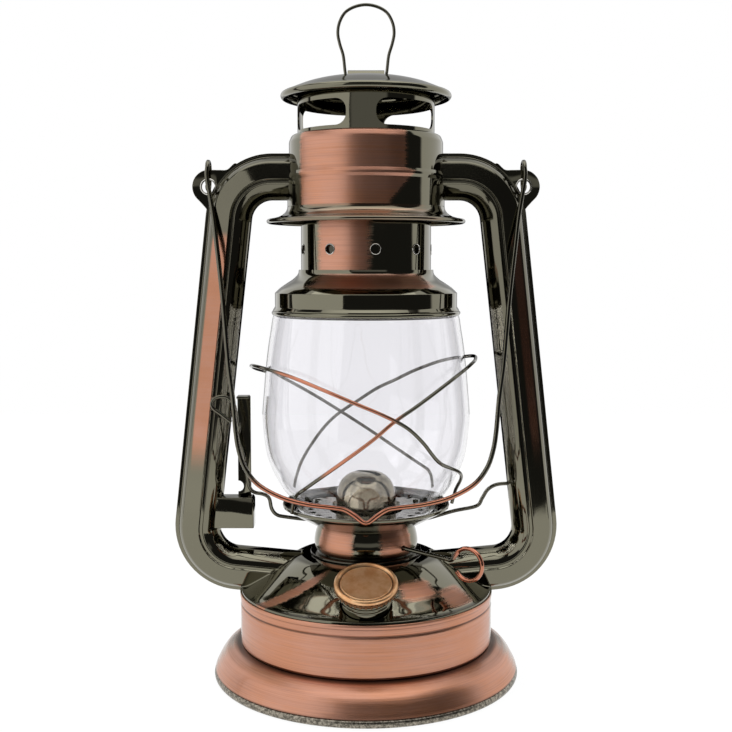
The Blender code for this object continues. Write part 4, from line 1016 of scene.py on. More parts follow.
@dataclass
class Filler:
    """Threaded neck, washer and screw cap."""

    top_z: float = 11.1
    skirt_h: float = 3.9
    bumps: int = 36
    bump_r: float = 0.62
    bump_ring: Point = (12.75, 13.0)

    def neck_section(self) -> list[Point]:
        """Neck with three thread rings and a root fillet."""
        line = [(9.6, 8.0), (10.4, 8.0), (10.6, 7.8), (10.6, 6.6)]
        for crest in (6.0, 4.3, 2.6):
            line += [(10.65, crest + 0.55), (11.05, crest + 0.3), (11.15, crest), (11.05, crest - 0.3),
                     (10.65, crest - 0.55)]
        return line + [(10.7, 1.2), (10.6, -3.4), (9.6, -3.4)]

    def cap_section(self) -> list[Point]:
        """Cap with a raised rim, a dark groove and a shallow dished top."""
        top = self.top_z
        dish = [(0.0, top - 0.95), (5.0, top - 0.9), (9.0, top - 0.72), (10.6, top - 0.55)]
        groove = [(10.95, top - 0.75), (11.25, top - 1.0), (11.6, top - 0.7), (11.9, top - 0.2)]
        foot = top - self.skirt_h
        rim = filleted([(11.9, top - 0.2, 0), (12.2, top + 0.02, 0.2), (12.9, top, 0.35),
                        (13.5, top - 0.7, 0.5), (13.45, top - 1.7, 0.2), (13.0, top - 2.1, 0.2),
                        (12.7, foot, 0.3), (11.45, foot, 0), (11.4, top - 1.6, 0), (0.0, top - 1.6, 0)])
        return curve(dish, 0.7) + groove + rim[1:]

    def cap_patina_and_shade(self, frame: Matrix) -> Rule:
        """Painted shade in the cap's groove and on the knurled skirt under its rim."""
        back = frame.inverted()

        def rule(point: Vector) -> float:
            """Share at a point of the piece."""
            local = (back @ (point * MM)) / MM
            radius = math.hypot(local.x, local.y)
            groove = window(radius, 10.9, 11.55, 0.22)
            groove *= smoothstep(local.z, self.top_z - 1.4, self.top_z - 1.2)
            skirt = 1 - smoothstep(local.z, self.top_z - 2.3, self.top_z - 1.2)
            return max(groove, 0.8 * skirt)

        return rule

    def build(self, shop: Workshop, frame: Matrix) -> None:
        """Make the filler.

        Args:
            shop: the workshop that fits the pieces.
            frame: placement of the filler's axis.
        """
        neck = moved(turned("filler_neck_dressed", self.neck_section(), 96), frame)
        shop.fit(neck, Body.FRAME, SMOOTH, Slot.GUNMETAL, ["filler_neck"])
        washer = [(9.7, 9.2), (10.5, 9.2), (10.6, 9.1), (10.6, 8.4),
                  (10.5, 8.3), (9.7, 8.3), (9.6, 8.4), (9.6, 9.1)]
        gasket = moved(turned("filler_washer_dressed", washer, 96), frame)
        shop.fit(gasket, Body.WASHER, Rubber(), Slot.GASKET, ["filler_gasket"])
        cap = turned("filler_cap_body", self.cap_section(), 144)
        studs = []
        for index in range(self.bumps):
            angle = 2 * math.pi * index / self.bumps
            out = Vector((math.sin(angle), -math.cos(angle), 0))
            foot = out * self.bump_ring[0] * MM + Vector((0, 0, (self.top_z - self.skirt_h + 0.25) * MM))
            head = out * self.bump_ring[1] * MM + Vector((0, 0, (self.top_z - 2.2) * MM))
            studs.append(bar(f"stud_{index}", foot, head, self.bump_r, 10))
        cap = joined("filler_cap_dressed", [cap] + studs)
        moved(cap, frame)
        shop.fit(cap, Body.FILLER, FillerCopper(), Slot.FILLER, ["filler_cap"],
                 patina_and_shade=self.cap_patina_and_shade(frame))


@dataclass
class Burner:
    """Neck, flame dome, wick and its knob."""

    turn: float = 35.5
    shaft_start: Vector = Vector((-0.002323, -0.003256, 0.0632))
    shaft_way: Vector = Vector((0.81236, -0.57945, -0.06558))
    shaft_l: float = 50.0
    eye_r: float = 7.0
    wire_r: float = 0.95

    def neck_section(self) -> list[Point]:
        """Bulged neck over a flange, as a sheet."""
        bulge = [(20.2, 71.35), (21.0, 70.8), (21.8, 69.9), (22.9, 67.1), (23.6, 64.3), (23.9, 61.5),
                 (23.45, 59.0), (22.6, 57.8)]
        line = [(14.0, 71.5), (19.2, 71.5)] + curve(bulge, 0.6)
        line += filleted([(22.6, 57.8, 0), (22.4, 57.15, 0.2), (25.6, 57.05, 0.2), (25.7, 56.4, 0)])[1:]
        return walled(divided(line, 1.6), 0.75)

    def frame(self) -> Matrix:
        """Placement of the wick shaft: local Z runs out along it."""
        turn = math.radians(self.turn)
        side = Vector((-math.sin(turn), -math.cos(turn), 0))
        up = self.shaft_way.cross(side)
        axes = Matrix((side, up, self.shaft_way)).transposed().to_4x4()
        return Matrix.Translation(self.shaft_start) @ axes

    def knob_route(self) -> list[Vector]:
        """Shaft and its open eye."""
        points = [Vector((0, 0, 3.8)), Vector((0, 0, 20.0)), Vector((0, 0, 44.0)), Vector((0, 0, 48.5))]
        sweep, steps = math.radians(320), 14
        for step in range(1, steps + 1):
            angle = sweep * step / steps
            points.append(Vector((0, -self.eye_r * math.sin(angle),
                                  self.shaft_l + self.eye_r * (1 - math.cos(angle)))))
        frame = self.frame()
        return [frame @ (p * MM) for p in spline(points, 0.7)]

    @staticmethod
    def neck_copper(point: Vector) -> float:
        """Two brushed patches above the flange."""
        patches = max(sector(-62.0, -15.0)(point), sector(16.0, 58.0)(point))
        return patches * smoothstep(point.z, 57.4, 58.4)

    def build(self, shop: Workshop) -> None:
        """Make the burner."""
        flat = Matrix.Rotation(math.radians(-self.turn), 4, "Z")
        neck = turned("burner_neck_dressed", self.neck_section(), 144)
        frame = self.frame()
        cut(neck, [bar("shaft_hole", frame @ Vector((0, 0, 0.012)), frame @ Vector((0, 0, 0.030)), 1.3)])
        # Painted shade round the foot flange under the bulge, and at the top under the dish.
        shop.fit(neck, Body.FRAME, TURNED, Slot.COPPER, ["burner_neck"],
                 copper=self.neck_copper,
                 patina_and_shade=lambda p: max(1 - smoothstep(p.z, 57.2, 58.6), smoothstep(p.z, 69.9, 71.3)))
        dome_line = [(0.0, 93.4), (3.0, 93.3), (6.1, 92.9), (9.0, 91.6), (11.6, 89.0), (13.2, 85.6),
                     (13.9, 81.5), (14.3, 77.0), (14.6, 71.8)]
        dome = turned("burner_dome_dressed", walled(curve(dome_line, 0.8), 0.7), 96)
        slot = block("flame_slot", (-7.8, -1.8, 86.5), (7.8, 1.8, 96.0), 0.6)
        cut(dome, [moved(slot, flat)])
        shop.fit(dome, Body.FRAME, STEEL, Slot.STEEL, ["burner_cone"])
        wick = block("wick_dressed", (-6.35, -0.9, 34.9), (6.35, 0.9, 91.0), 0.4)
        shop.fit(moved(wick, flat), Body.WICK, Cotton(), Slot.COTTON, ["wick"])
        knob = shop.wire("wick_knob_dressed", self.knob_route(), self.wire_r)
        shop.fit(knob, Body.KNOB, WIRE, Slot.COPPER, ["wick_knob"],
                 copper=lambda p: smoothstep(p.x, 36.0, 41.0))


@dataclass
class GlobeCarrier:
    """Dish, seat, glass and guard."""

    wall: float = 1.8
    dish_r: float = 38.5
    seat_gap: float = 0.3
    guard_r: float = 52.2
    guard_foot: float = 78.9
    guard_h: float = 66.0
    wire_r: float = 0.8

    def dish_section(self) -> list[Point]:
        """Dish with a rolled edge."""
        line = [(22.2, 70.7), (26.0, 71.0)]
        line += curve([(26.0, 71.0), (31.0, 73.8), (35.0, 76.0), (37.0, 77.4)], 1.0)[1:]
        line += filleted([(37.0, 77.4, 0), (38.4, 77.9, 0.4), (self.dish_r, 79.2, 0.5),
                          (37.4, 79.3, 0.3), (37.0, 78.7, 0)])[1:]
        return walled(line, -0.7)

    def seat_section(self) -> list[Point]:
        """Perforated seat with its collar."""
        return [(33.3, 76.1), (33.3, 76.9), (17.2, 76.9), (16.5, 76.4), (16.0, 71.8), (16.8, 71.8),
                (17.1, 76.1)]

    def glass_line(self) -> list[Point]:
        """Outer line of the glass, from its top down."""
        knots = [(38.6, 177.2), (38.9, 171.5), (40.2, 168.0), (42.2, 165.5), (43.3, 159.2), (44.3, 153.0),
                 (45.6, 142.7), (46.6, 131.5), (47.4, 120.8), (46.95, 112.2), (45.9, 104.0), (44.3, 98.3),
                 (41.8, 92.9), (38.7, 87.4), (35.6, 83.2), (33.2, 79.6), (31.8, 77.2)]
        return curve(knots, 1.3)

    def guard_route(self, shares: Sequence[tuple[float, float, float]]) -> list[Vector]:
        """Hoop from its shares of turn, radius and height."""
        points = []
        foot_r = self.dish_r + self.wire_r + self.seat_gap
        for turn, reach, rise in shares:
            angle = math.radians(turn)
            radius = foot_r if rise < shares[1][2] else self.guard_r * reach
            points.append(Vector((radius * math.sin(angle), -radius * math.cos(angle),
                                  self.guard_foot + self.guard_h * rise)))
        return [p * MM for p in spline(points, 1.4)]

    def build(self, shop: Workshop) -> None:
        """Make the carrier."""
        dish = turned("globe_plate_dressed", self.dish_section())
        # The dish is darkened inside its rim.
        shop.fit(dish, Body.CARRIER, SMOOTH, Slot.GUNMETAL, ["globe_plate"],
                 patina_and_shade=lambda p: 0.6 * (1 - smoothstep(math.hypot(p.x, p.y), 37.0, 37.8)))
        seat = turned("globe_seat_dressed", self.seat_section())
        shop.repeats.upright.apply(seat, {
            "Count": 24, "Ring Radius": 25.5 * MM, "Height": 76.5 * MM, "Turn": 0.1,
            "Hole Radius": 1.5 * MM, "Reach": 4.0 * MM, "Material": SMOOTH.material()})
        # The seat is darkened all over.
        shop.fit(tidy(seat), Body.CARRIER, SMOOTH, Slot.GUNMETAL, ["globe_seat"],
                 patina_and_shade=everywhere(0.6))
        glass = turned("globe_dressed", walled(self.glass_line(), self.wall))
        shop.fit(glass, Body.CARRIER, ClearGlass(), Slot.GLASS, ["globe"])
        left = shop.wire("guard_wire_left_dressed", self.guard_route(LEFT_HIGH_GUARD_SHARES), self.wire_r)
        shop.fit(left, Body.CARRIER, WIRE, Slot.GUNMETAL, ["guard_wire_left"],
                 copper=lambda p: window(p.x, -38.0, 12.0, 5.0) * (p.y < 0))
        right = shop.wire("guard_wire_right_dressed", self.guard_route(RIGHT_HIGH_GUARD_SHARES), self.wire_r)
        shop.fit(right, Body.CARRIER, WIRE, Slot.GUNMETAL, ["guard_wire_right"],
                 copper=lambda p: window(p.x, -18.0, 14.0, 5.0) * (p.y < 0))


LEFT_HIGH_GUARD_SHARES = (
    (88.0, 0.757, 0.0), (84.0, 0.79, 0.1), (64.0, 0.895, 0.26), (39.0, 0.955, 0.385),
    (27.5, 0.985, 0.535), (18.6, 0.997, 0.64), (7.0, 1.0, 0.725), (-5.0, 1.0, 0.795),
    (-20.0, 0.998, 0.875), (-38.5, 0.998, 0.95), (-62.0, 1.0, 0.985), (-84.0, 1.0, 0.97),
    (-100.0, 1.0, 0.93), (-119.0, 1.0, 0.87), (-145.0, 1.0, 0.715), (-165.0, 0.99, 0.55),
    (-189.0, 0.945, 0.345), (-219.0, 0.85, 0.165), (-231.0, 0.80, 0.12), (-239.0, 0.757, 0.03))
RIGHT_HIGH_GUARD_SHARES = (
    (-56.0, 0.757, 0.0), (-47.3, 0.80, 0.13), (-33.8, 0.87, 0.22), (-12.8, 0.92, 0.40),
    (3.1, 0.945, 0.555), (13.7, 0.952, 0.67), (26.8, 0.955, 0.775), (47.6, 0.955, 0.915),
    (66.0, 0.955, 0.99), (84.2, 0.955, 1.015), (100.6, 0.955, 1.02), (129.8, 0.955, 0.96),
    (149.4, 0.955, 0.875), (162.3, 0.957, 0.795), (173.5, 0.96, 0.725), (185.5, 0.955, 0.625),
    (199.0, 0.94, 0.515), (211.0, 0.91, 0.385), (226.6, 0.85, 0.215), (247.5, 0.757, 0.04))


@dataclass
class SideTubes:
    """Pressed air tubes with their welded seam, ears and eyelets."""

    top_x: float = 59.2
    top_z: float = 227.0
    foot_x: float = 79.0
    foot_z: float = 51.0
    end_z: float = 46.4
    start_x: float = 33.9
    end_x: float = 30.4
    top_bend: float = 19.0
    foot_bend: float = 19.0
    ear_x: float = 71.1
    ear_z: float = 223.5
    flange_foot: float = 9.65

    def route(self, side: int) -> list[Vector]:
        """Centre line in millimetres, from the drum to the dome."""
        line = filleted([(self.start_x, self.top_z, 0), (self.top_x, self.top_z, self.top_bend),
                         (self.foot_x, self.foot_z, self.foot_bend), (self.end_x, self.end_z, 0)], 18)
        return [Vector((side * x, 0, z)) for x, z in divided(line, 2.5)]

    @staticmethod
    def half_section() -> list[Point]:
        """Front half of the section, from the seam's edge to the inner side.

        Returns:
            (outward, forward) in millimetres.
        """
        edge = filleted([(11.4, 0.0, 0), (11.38, 0.42, 0.2), (9.7, 0.5, 0.3), (9.25, 2.6, 0), (8.5, 4.6, 0),
                         (7.0, 6.7, 1.6), (-0.5, 9.25, 0.4), (-1.1, 8.6, 0.25), (-2.2, 8.6, 0.25),
                         (-2.8, 9.15, 0.3), (-4.6, 8.35, 0)], 4)
        inner = curve([(-4.6, 8.35), (-6.4, 7.05), (-7.9, 5.3), (-9.0, 3.2), (-9.55, 1.2), (-9.6, 0.0)], 0.9)
        return divided(edge + inner[1:], 0.8)

    def section(self) -> list[Point]:
        """Whole section, of (outward, forward) in millimetres."""
        half = self.half_section()
        return half + [(u, -v) for u, v in half[-2:0:-1]]

    @staticmethod
    def skin(point: Vector, along: Vector, side: int, across: Point) -> Vector:
        """Point of the skin beside a point of the centre line that runs along a direction."""
        out = Vector((along.z, 0, -along.x)) * -side
        return point + out * across[0] + Vector((0, -across[1], 0))

    def tube(self, name: str, side: int) -> bpy.types.Object:
        """Swept tube, closed at both ends."""
        section = self.section()
        route = self.route(side)
        verts = []
        for index, point in enumerate(route):
            along = (route[min(index + 1, len(route) - 1)] - route[max(index - 1, 0)]).normalized()
            verts += [tuple(self.skin(point, along, side, across) * MM) for across in section]
        count = len(section)
        faces = []
        for row in range(len(route) - 1):
            for i in range(count):
                j = (i + 1) % count
                one, two = row * count, (row + 1) * count
                faces.append((one + i, one + j, two + j, two + i))
        faces.append(tuple(range(count)))
        faces.append(tuple(range((len(route) - 1) * count, len(route) * count))[::-1])
        mesh = bpy.data.meshes.new(name)
        mesh.from_pydata(verts, [], faces)
        return tidy(link(name, mesh), 38.0)

    def ear(self, name: str, side: int) -> bpy.types.Object:
        """Flat ear with its lobe and its hole."""
        knots = [(58.5, 234.0), (62.5, 231.2), (66.0, 231.0), (70.3, 231.0), (74.0, 230.4), (77.2, 227.6),
                 (78.4, 223.6), (77.4, 219.6), (74.6, 216.4), (71.8, 213.0), (70.0, 208.5), (69.6, 203.0),
                 (66.0, 203.0), (61.0, 215.0), (56.0, 228.0)]
        ring = [(side * p.x, p.y) for p in spline([Vector(k) for k in knots], 0.8, True)]
        plate = extruded(name, ring, 0.9, 0.15)
        hole = bar("ear_hole", Vector((side * self.ear_x * MM, -0.004, self.ear_z * MM)),
                   Vector((side * self.ear_x * MM, 0.004, self.ear_z * MM)), 3.45, 48)
        return cut(plate, [hole])

    def eyelet(self, name: str, side: int) -> bpy.types.Object:
        """Rolled eyelet."""
        ring = turned(name, rolled((3.4, 0.0), (0.5, 0.75), 0, 360, 16)[:-1], 48)
        turn = Matrix.Rotation(math.pi / 2, 4, "X")
        return moved(ring, Matrix.Translation((side * self.ear_x * MM, 0, self.ear_z * MM)) @ turn)

    def copper_band(self, side: int) -> Rule:
        """Brushed band on the tube's outer front face."""

        def rule(point: Vector) -> float:
            """Share at a point of the piece."""
            share = (point.z - self.foot_z) / (self.top_z - self.foot_z)
            across = abs(point.x) - lerp(self.foot_x, self.top_x, share)
            reach = smoothstep(point.z, 84.0, 122.0) * (1 - smoothstep(point.z, 197.0, 206.0))
            band = window(across, -0.6, 6.4, 0.7) if side < 0 else window(across, 2.2, 6.6, 1.0) * 0.8
            return reach * band * (point.y < 0)

        return rule

    def solder(self, side: int, fount: Fount) -> list[Vector]:
        """Line where the tube's skin meets the dome, in metres."""
        route = self.route(side)
        loop = []

        def stand(skin: Vector) -> float:
            """How far a point of the skin stands out of the tank."""
            radius = math.hypot(skin.x, skin.y)
            return radius - fount.rim_r if radius > fount.rim_r else skin.z - fount.dome_height(radius)

        for across in self.section():
            if across[0] > self.flange_foot:
                continue
            before = None
            for index in range(len(route) - 1, 0, -1):
                along = (route[index] - route[index - 1]).normalized()
                skin = self.skin(route[index], along, side, across)
                if stand(skin) > 0:
                    if before:
                        low, high = stand(before), stand(skin)
                        skin = before.lerp(skin, -low / max(high - low, 1e-6))
                    loop.append(skin * MM)
                    break
                before = skin
        return loop

    def build(self, shop: Workshop, fount: Fount) -> None:
        """Make both tubes.

        Args:
            shop: the workshop that fits the pieces.
            fount: the tank that the tubes stand on.
        """
        for side, word in ((-1, "left"), (1, "right")):
            tube = self.tube(f"tube_{word}_dressed", side)
            if side > 0:
                cut(tube, [block("guide_slot", (60.0, -1.5, 84.8), (71.5, 1.5, 103.0), 0.0)])
            # Darker upwards from 84 mm, fully from 122 mm.
            shop.fit(tube, Body.FRAME, SMOOTH, Slot.GUNMETAL, [f"tube_{word}"],
                     copper=self.copper_band(side), patina_and_shade=lambda p: 0.34 * smoothstep(p.z, 84.0, 122.0))
            shop.fit(self.ear(f"ear_{word}", side), Body.FRAME, SMOOTH, Slot.GUNMETAL)
            shop.fit(self.eyelet(f"ear_eyelet_{word}_dressed", side), Body.FRAME, BRIGHT,
                     Slot.GUNMETAL, [f"ear_eyelet_{word}"])
            line = spline(self.solder(side, fount), 0.8 * MM, True)
            bead = shop.wire(f"tube_{word}_solder", line, 0.55, True, 10)
            shop.fit(bead, Body.FRAME, SMOOTH, Slot.GUNMETAL)


@dataclass
class Drum:
    """Air chamber with its skirt and baffle."""

    wall_r: float = 34.6
    foot_z: float = 212.0
    top_z: float = 246.0
    rim: Point = (43.85, 207.85)
    port_r: float = 8.6
    port_z: float = 227.0
    saddle_radii: Point = (34.8, 35.45)
    saddle_z: Point = (214.4, 226.4)
    saddle_half: float = 24.0

    def shell_line(self) -> list[Point]:
        """Outer line from the top hole down."""
        wall = self.wall_r
        return filleted([(31.2, self.top_z, 0), (33.4, 245.9, 1.6), (wall, 243.0, 3.0), (wall, 229.6, 0.3),
                         (35.12, 228.2, 0.9), (35.12, 227.3, 0.9), (wall, 225.9, 0.3), (wall, 214.2, 0.2),
                         (34.9, 213.8, 0.2), (34.9, 213.1, 0.2), (wall, 212.6, 0), (wall, self.foot_z, 0)])

    def skirt_line(self) -> list[Point]:
        """Outer line of the flare with its rolled rim."""
        flare = [(35.5, 214.2), (35.8, 212.9), (36.9, 211.4), (39.1, 210.0), (41.6, 209.25), (43.6, 208.87)]
        return curve(flare, 0.8) + rolled(self.rim, (1.0, 1.0), 100, -160, 14)

    def saddle(self, name: str, side: int) -> bpy.types.Object:
        """Curved plate round the tube's port."""
        verts = []
        rows, columns = 24, 40
        faces = []
        for radius in self.saddle_radii:
            for row in range(rows + 1):
                up = row / rows
                z = lerp(*self.saddle_z, up)
                arch = math.sqrt(max(1 - max(up - 0.72, 0) ** 2 / 0.28 ** 2, 0.0))
                width = self.saddle_half * min(1.0, arch * 0.5 + 0.5)
                for column in range(columns + 1):
                    angle = math.radians(90 + lerp(-width, width, column / columns))
                    across, back = side * radius * math.sin(angle), -radius * math.cos(angle)
                    verts.append((across * MM, back * MM, z * MM))
        size = (rows + 1) * (columns + 1)
        for layer in (0, 1):
            for row in range(rows):
                for column in range(columns):
                    a = layer * size + row * (columns + 1) + column
                    faces.append((a, a + 1, a + columns + 2, a + columns + 1))
        border = list(range(columns + 1))
        border += [(r + 2) * (columns + 1) - 1 for r in range(rows)]
        border += [rows * (columns + 1) + c for c in range(columns - 1, -1, -1)]
        border += [r * (columns + 1) for r in range(rows - 1, 0, -1)]
        for one, two in zip(border, border[1:] + border[:1]):
            faces.append((one, two, two + size, one + size))
        mesh = bpy.data.meshes.new(name)
        mesh.from_pydata(verts, [], faces)
        return tidy(link(name, mesh))

    @staticmethod
    def worn_copper(point: Vector) -> float:
        """Copper that ends in a slanting edge under the bead."""
        edge = 30.0 if point.z > 229.0 else lerp(38.0, 17.0, min((229.0 - point.z) / 14.0, 1.0))
        return window(azimuth(point), -55.0, edge, 5.0)

    def build(self, shop: Workshop) -> None:
        """Make the drum."""
        shell = turned("drum_shell_dressed", walled(divided(self.shell_line(), 1.6), 0.8))
        ends = [Vector((x, 0, self.port_z * MM)) for x in (-0.040, 0.040)]
        cut(shell, [bar("port", *ends, self.port_r, 64)])
        # Painted shade in the crease above the skirt.
        shop.fit(shell, Body.FRAME, TURNED, Slot.COPPER, ["drum_shell"],
                 copper=self.worn_copper, patina_and_shade=near_levels([213.4], 0.5))
        skirt = turned("drum_skirt_dressed", walled(self.skirt_line(), 0.55))
        shop.fit(skirt, Body.FRAME, TURNED, Slot.GUNMETAL, ["drum_skirt"],
                 copper=lambda p: 0.30 * sector(-50.0, 50.0, 12.0)(p))
        baffle = turned("drum_baffle_dressed", filleted([
            (29.9, 214.0, 0), (29.9, 213.5, 0), (33.5, 213.5, 0.2), (33.5, 214.3, 0.2), (29.9, 214.3, 0),
            (29.9, 214.1, 0)]))
        shop.fit(baffle, Body.FRAME, SMOOTH, Slot.GUNMETAL, ["drum_baffle"])
        for side, word in ((-1, "left"), (1, "right")):
            shop.fit(self.saddle(f"port_saddle_{word}", side), Body.FRAME, SMOOTH, Slot.GUNMETAL)


@dataclass
class Chimney:
    """Bell, tube, cage, lid, saddle and ring."""

    tube_r: float = 29.4
    tube_foot: float = 184.3
    tube_top: float = 246.0
    vent_z: float = 195.2
    vent_r: float = 2.2
    vent_turn: float = 8.0
    vents: int = 9
    cage_r: float = 30.7
    slots: int = 4
    slot_middle: float = 41.0
    slot_half: float = 33.0
    slot_z: Point = (247.7, 258.9)
    slot_corner: float = 4.9
    ring_z: float = 272.7
    ring_half: float = 9.3
    ring_h: float = 31.0
    strap_z: float = 271.75

    def bell_line(self) -> list[Point]:
        """Outer line of the bell, from the tube down to the rim."""
        shoulder = [(30.5, 186.2), (30.7, 184.6), (31.6, 183.3), (33.6, 181.6), (36.4, 179.8), (39.0, 178.0),
                    (40.2, 176.9)]
        band = filleted([(40.2, 176.9, 0), (41.35, 175.8, 0.5), (41.35, 169.6, 0.8), (42.2, 168.3, 0.6),
                         (42.3, 168.0, 0)])
        return curve(shoulder, 0.7) + band[1:] + rolled((41.95, 166.85), (0.92, 0.98), 80, -170, 14)

    def cap_line(self) -> list[Point]:
        """Outer line of the lid, from its middle to the rolled rim."""
        lid = [(0.0, 271.7), (8.0, 271.6), (14.8, 271.3), (21.5, 270.2), (27.6, 268.6), (32.6, 266.7),
               (35.8, 265.3)]
        return curve(lid, 0.9) + rolled((36.75, 263.4), (1.5, 1.55), 85, -190, 16)

    def cage_cutter(self, centre: float) -> bpy.types.Object:
        """Wedge with rounded corners that opens one slot."""
        low, high = self.slot_z
        corner = self.slot_corner
        width = 2 * self.slot_half * math.pi / 180 * self.cage_r
        outline = filleted([(width / 2, low, 0), (width, low, corner), (width, high, corner),
                            (0.0, high, corner), (0.0, low, corner), (width / 2, low, 0)], 8)[:-1]
        outline = divided(outline, 1.2)
        mesh = bpy.data.meshes.new("cage_slot")
        work = bmesh.new()
        layers = []
        for radius in (26.0, 34.0):
            layer = []
            for across, z in outline:
                angle = math.radians(centre - self.slot_half) + across / self.cage_r
                place = (radius * MM * math.sin(angle), -radius * MM * math.cos(angle), z * MM)
                layer.append(work.verts.new(place))
            layers.append(layer)
        for i in range(len(outline)):
            j = (i + 1) % len(outline)
            work.faces.new((layers[0][i], layers[0][j], layers[1][j], layers[1][i]))
        for layer in layers:
            bmesh.ops.triangulate(work, faces=[work.faces.new(layer)])
        bmesh.ops.recalc_face_normals(work, faces=work.faces)
        work.to_mesh(mesh)
        work.free()
        return link("cage_slot", mesh)

    def ring_route(self) -> list[Vector]:
        """Closed route of the carrying ring."""
        shares = [(1.0, 0.05), (1.09, 0.28), (1.26, 0.45), (1.35, 0.6), (1.27, 0.75), (1.0, 0.89),
                  (0.55, 0.97), (0.0, 1.0)]
        right = [Vector((self.ring_half * x, 0, self.ring_z + self.ring_h * z)) for x, z in shares]
        left = [Vector((-p.x, 0, p.z)) for p in right[-2::-1]]
        foot = [Vector((x, 0, self.ring_z)) for x in (-8.6, -5.0, 0.0, 5.0, 8.6)]
        return [p * MM for p in spline(right + left + foot, 0.9, True)]

    def strap(self) -> bpy.types.Object:
        """Saddle that holds the ring."""
        base = self.strap_z
        low = [(-6.0, base - 0.25), (-4.4, base), (-3.5, base + 1.6), (-3.0, base + 1.95)]
        high = [(-6.0, base + 0.45), (-4.8, base + 0.75), (-4.0, base + 2.3), (-3.3, base + 2.75)]
        low += [(-x, z) for x, z in low[::-1]]
        high += [(-x, z) for x, z in high[::-1]]
        plate = extruded("cap_strap_dressed", low + high[::-1], 16.4, 0.2)
        return moved(plate, Matrix.Rotation(math.pi / 2, 4, "Z"))

    def build(self, shop: Workshop) -> None:
        """Make the chimney."""
        bell = turned("bell_hood_dressed", walled(self.bell_line(), 0.6))
        shop.fit(bell, Body.CHIMNEY, TURNED, Slot.GUNMETAL, ["bell_hood"],
                 copper=lambda p: 0.9 * sector(-42.0, 50.0, 12.0)(p) * window(p.z, 178.0, 184.5, 0.8))
        tube_line = divided([(self.tube_r, self.tube_top), (self.tube_r, self.tube_foot)], 1.3)
        tube = turned("chimney_tube_dressed", walled(tube_line, 0.8))
        ring = {"Count": self.vents, "Height": self.vent_z * MM, "Turn": math.radians(self.vent_turn - 90)}
        shop.repeats.radial.apply(tube, ring | {
            "Ring Radius": self.tube_r * MM, "Hole Radius": self.vent_r * MM, "Reach": 6.0 * MM,
            "Material": TURNED.material()})
        shop.fit(tidy(tube), Body.CHIMNEY, TURNED, Slot.COPPER, ["chimney_tube"],
                 copper=sector(-44.0, 3.0, 8.0))
        lips = turned("chimney_vent_lips", [(1.0, 0.0), (1.1, 0.0), (1.1, 0.1)], 3)
        shop.repeats.lips.apply(lips, ring | {
            "Ring Radius": (self.tube_r + 0.02) * MM, "Lip Radius": (self.vent_r + 0.05) * MM,
            "Wire Radius": 0.22 * MM, "Material": BRIGHT.material()})
        shop.fit(tidy(lips), Body.CHIMNEY, BRIGHT, Slot.COPPER)
        # Painted shade: a near-black sheet just inside the tube behind the vents, so the holes show dark.
        shade_sheet = turned("chimney_shade_sheet", [(27.9, 186.5), (28.3, 186.5), (28.3, 205.0), (27.9, 205.0)])
        shop.fit(shade_sheet, Body.CHIMNEY, SMOOTH, Slot.GUNMETAL, patina_and_shade=everywhere())
        cage_line = filleted([(30.5, 266.5, 0), (30.75, 265.6, 0), (30.75, 245.0, 0.3), (30.45, 244.3, 0)])
        cage = turned("vent_cage_dressed", walled(divided(cage_line, 1.1), 0.85))
        pitch = 360.0 / self.slots
        cut(cage, [self.cage_cutter(self.slot_middle + pitch * index) for index in range(self.slots)])
        shop.fit(cage, Body.CHIMNEY, SMOOTH, Slot.GUNMETAL, ["vent_cage"])
        cap = turned("chimney_cap_dressed", walled(self.cap_line(), 0.6))
        shop.fit(cap, Body.CHIMNEY, SMOOTH, Slot.GUNMETAL, ["chimney_cap"])
        shop.fit(self.strap(), Body.CHIMNEY, SMOOTH, Slot.GUNMETAL, ["cap_strap"])
        handle = shop.wire("top_ring_dressed", self.ring_route(), 0.7, True)
        shop.fit(handle, Body.RING, WIRE, Slot.GUNMETAL, ["top_ring"])


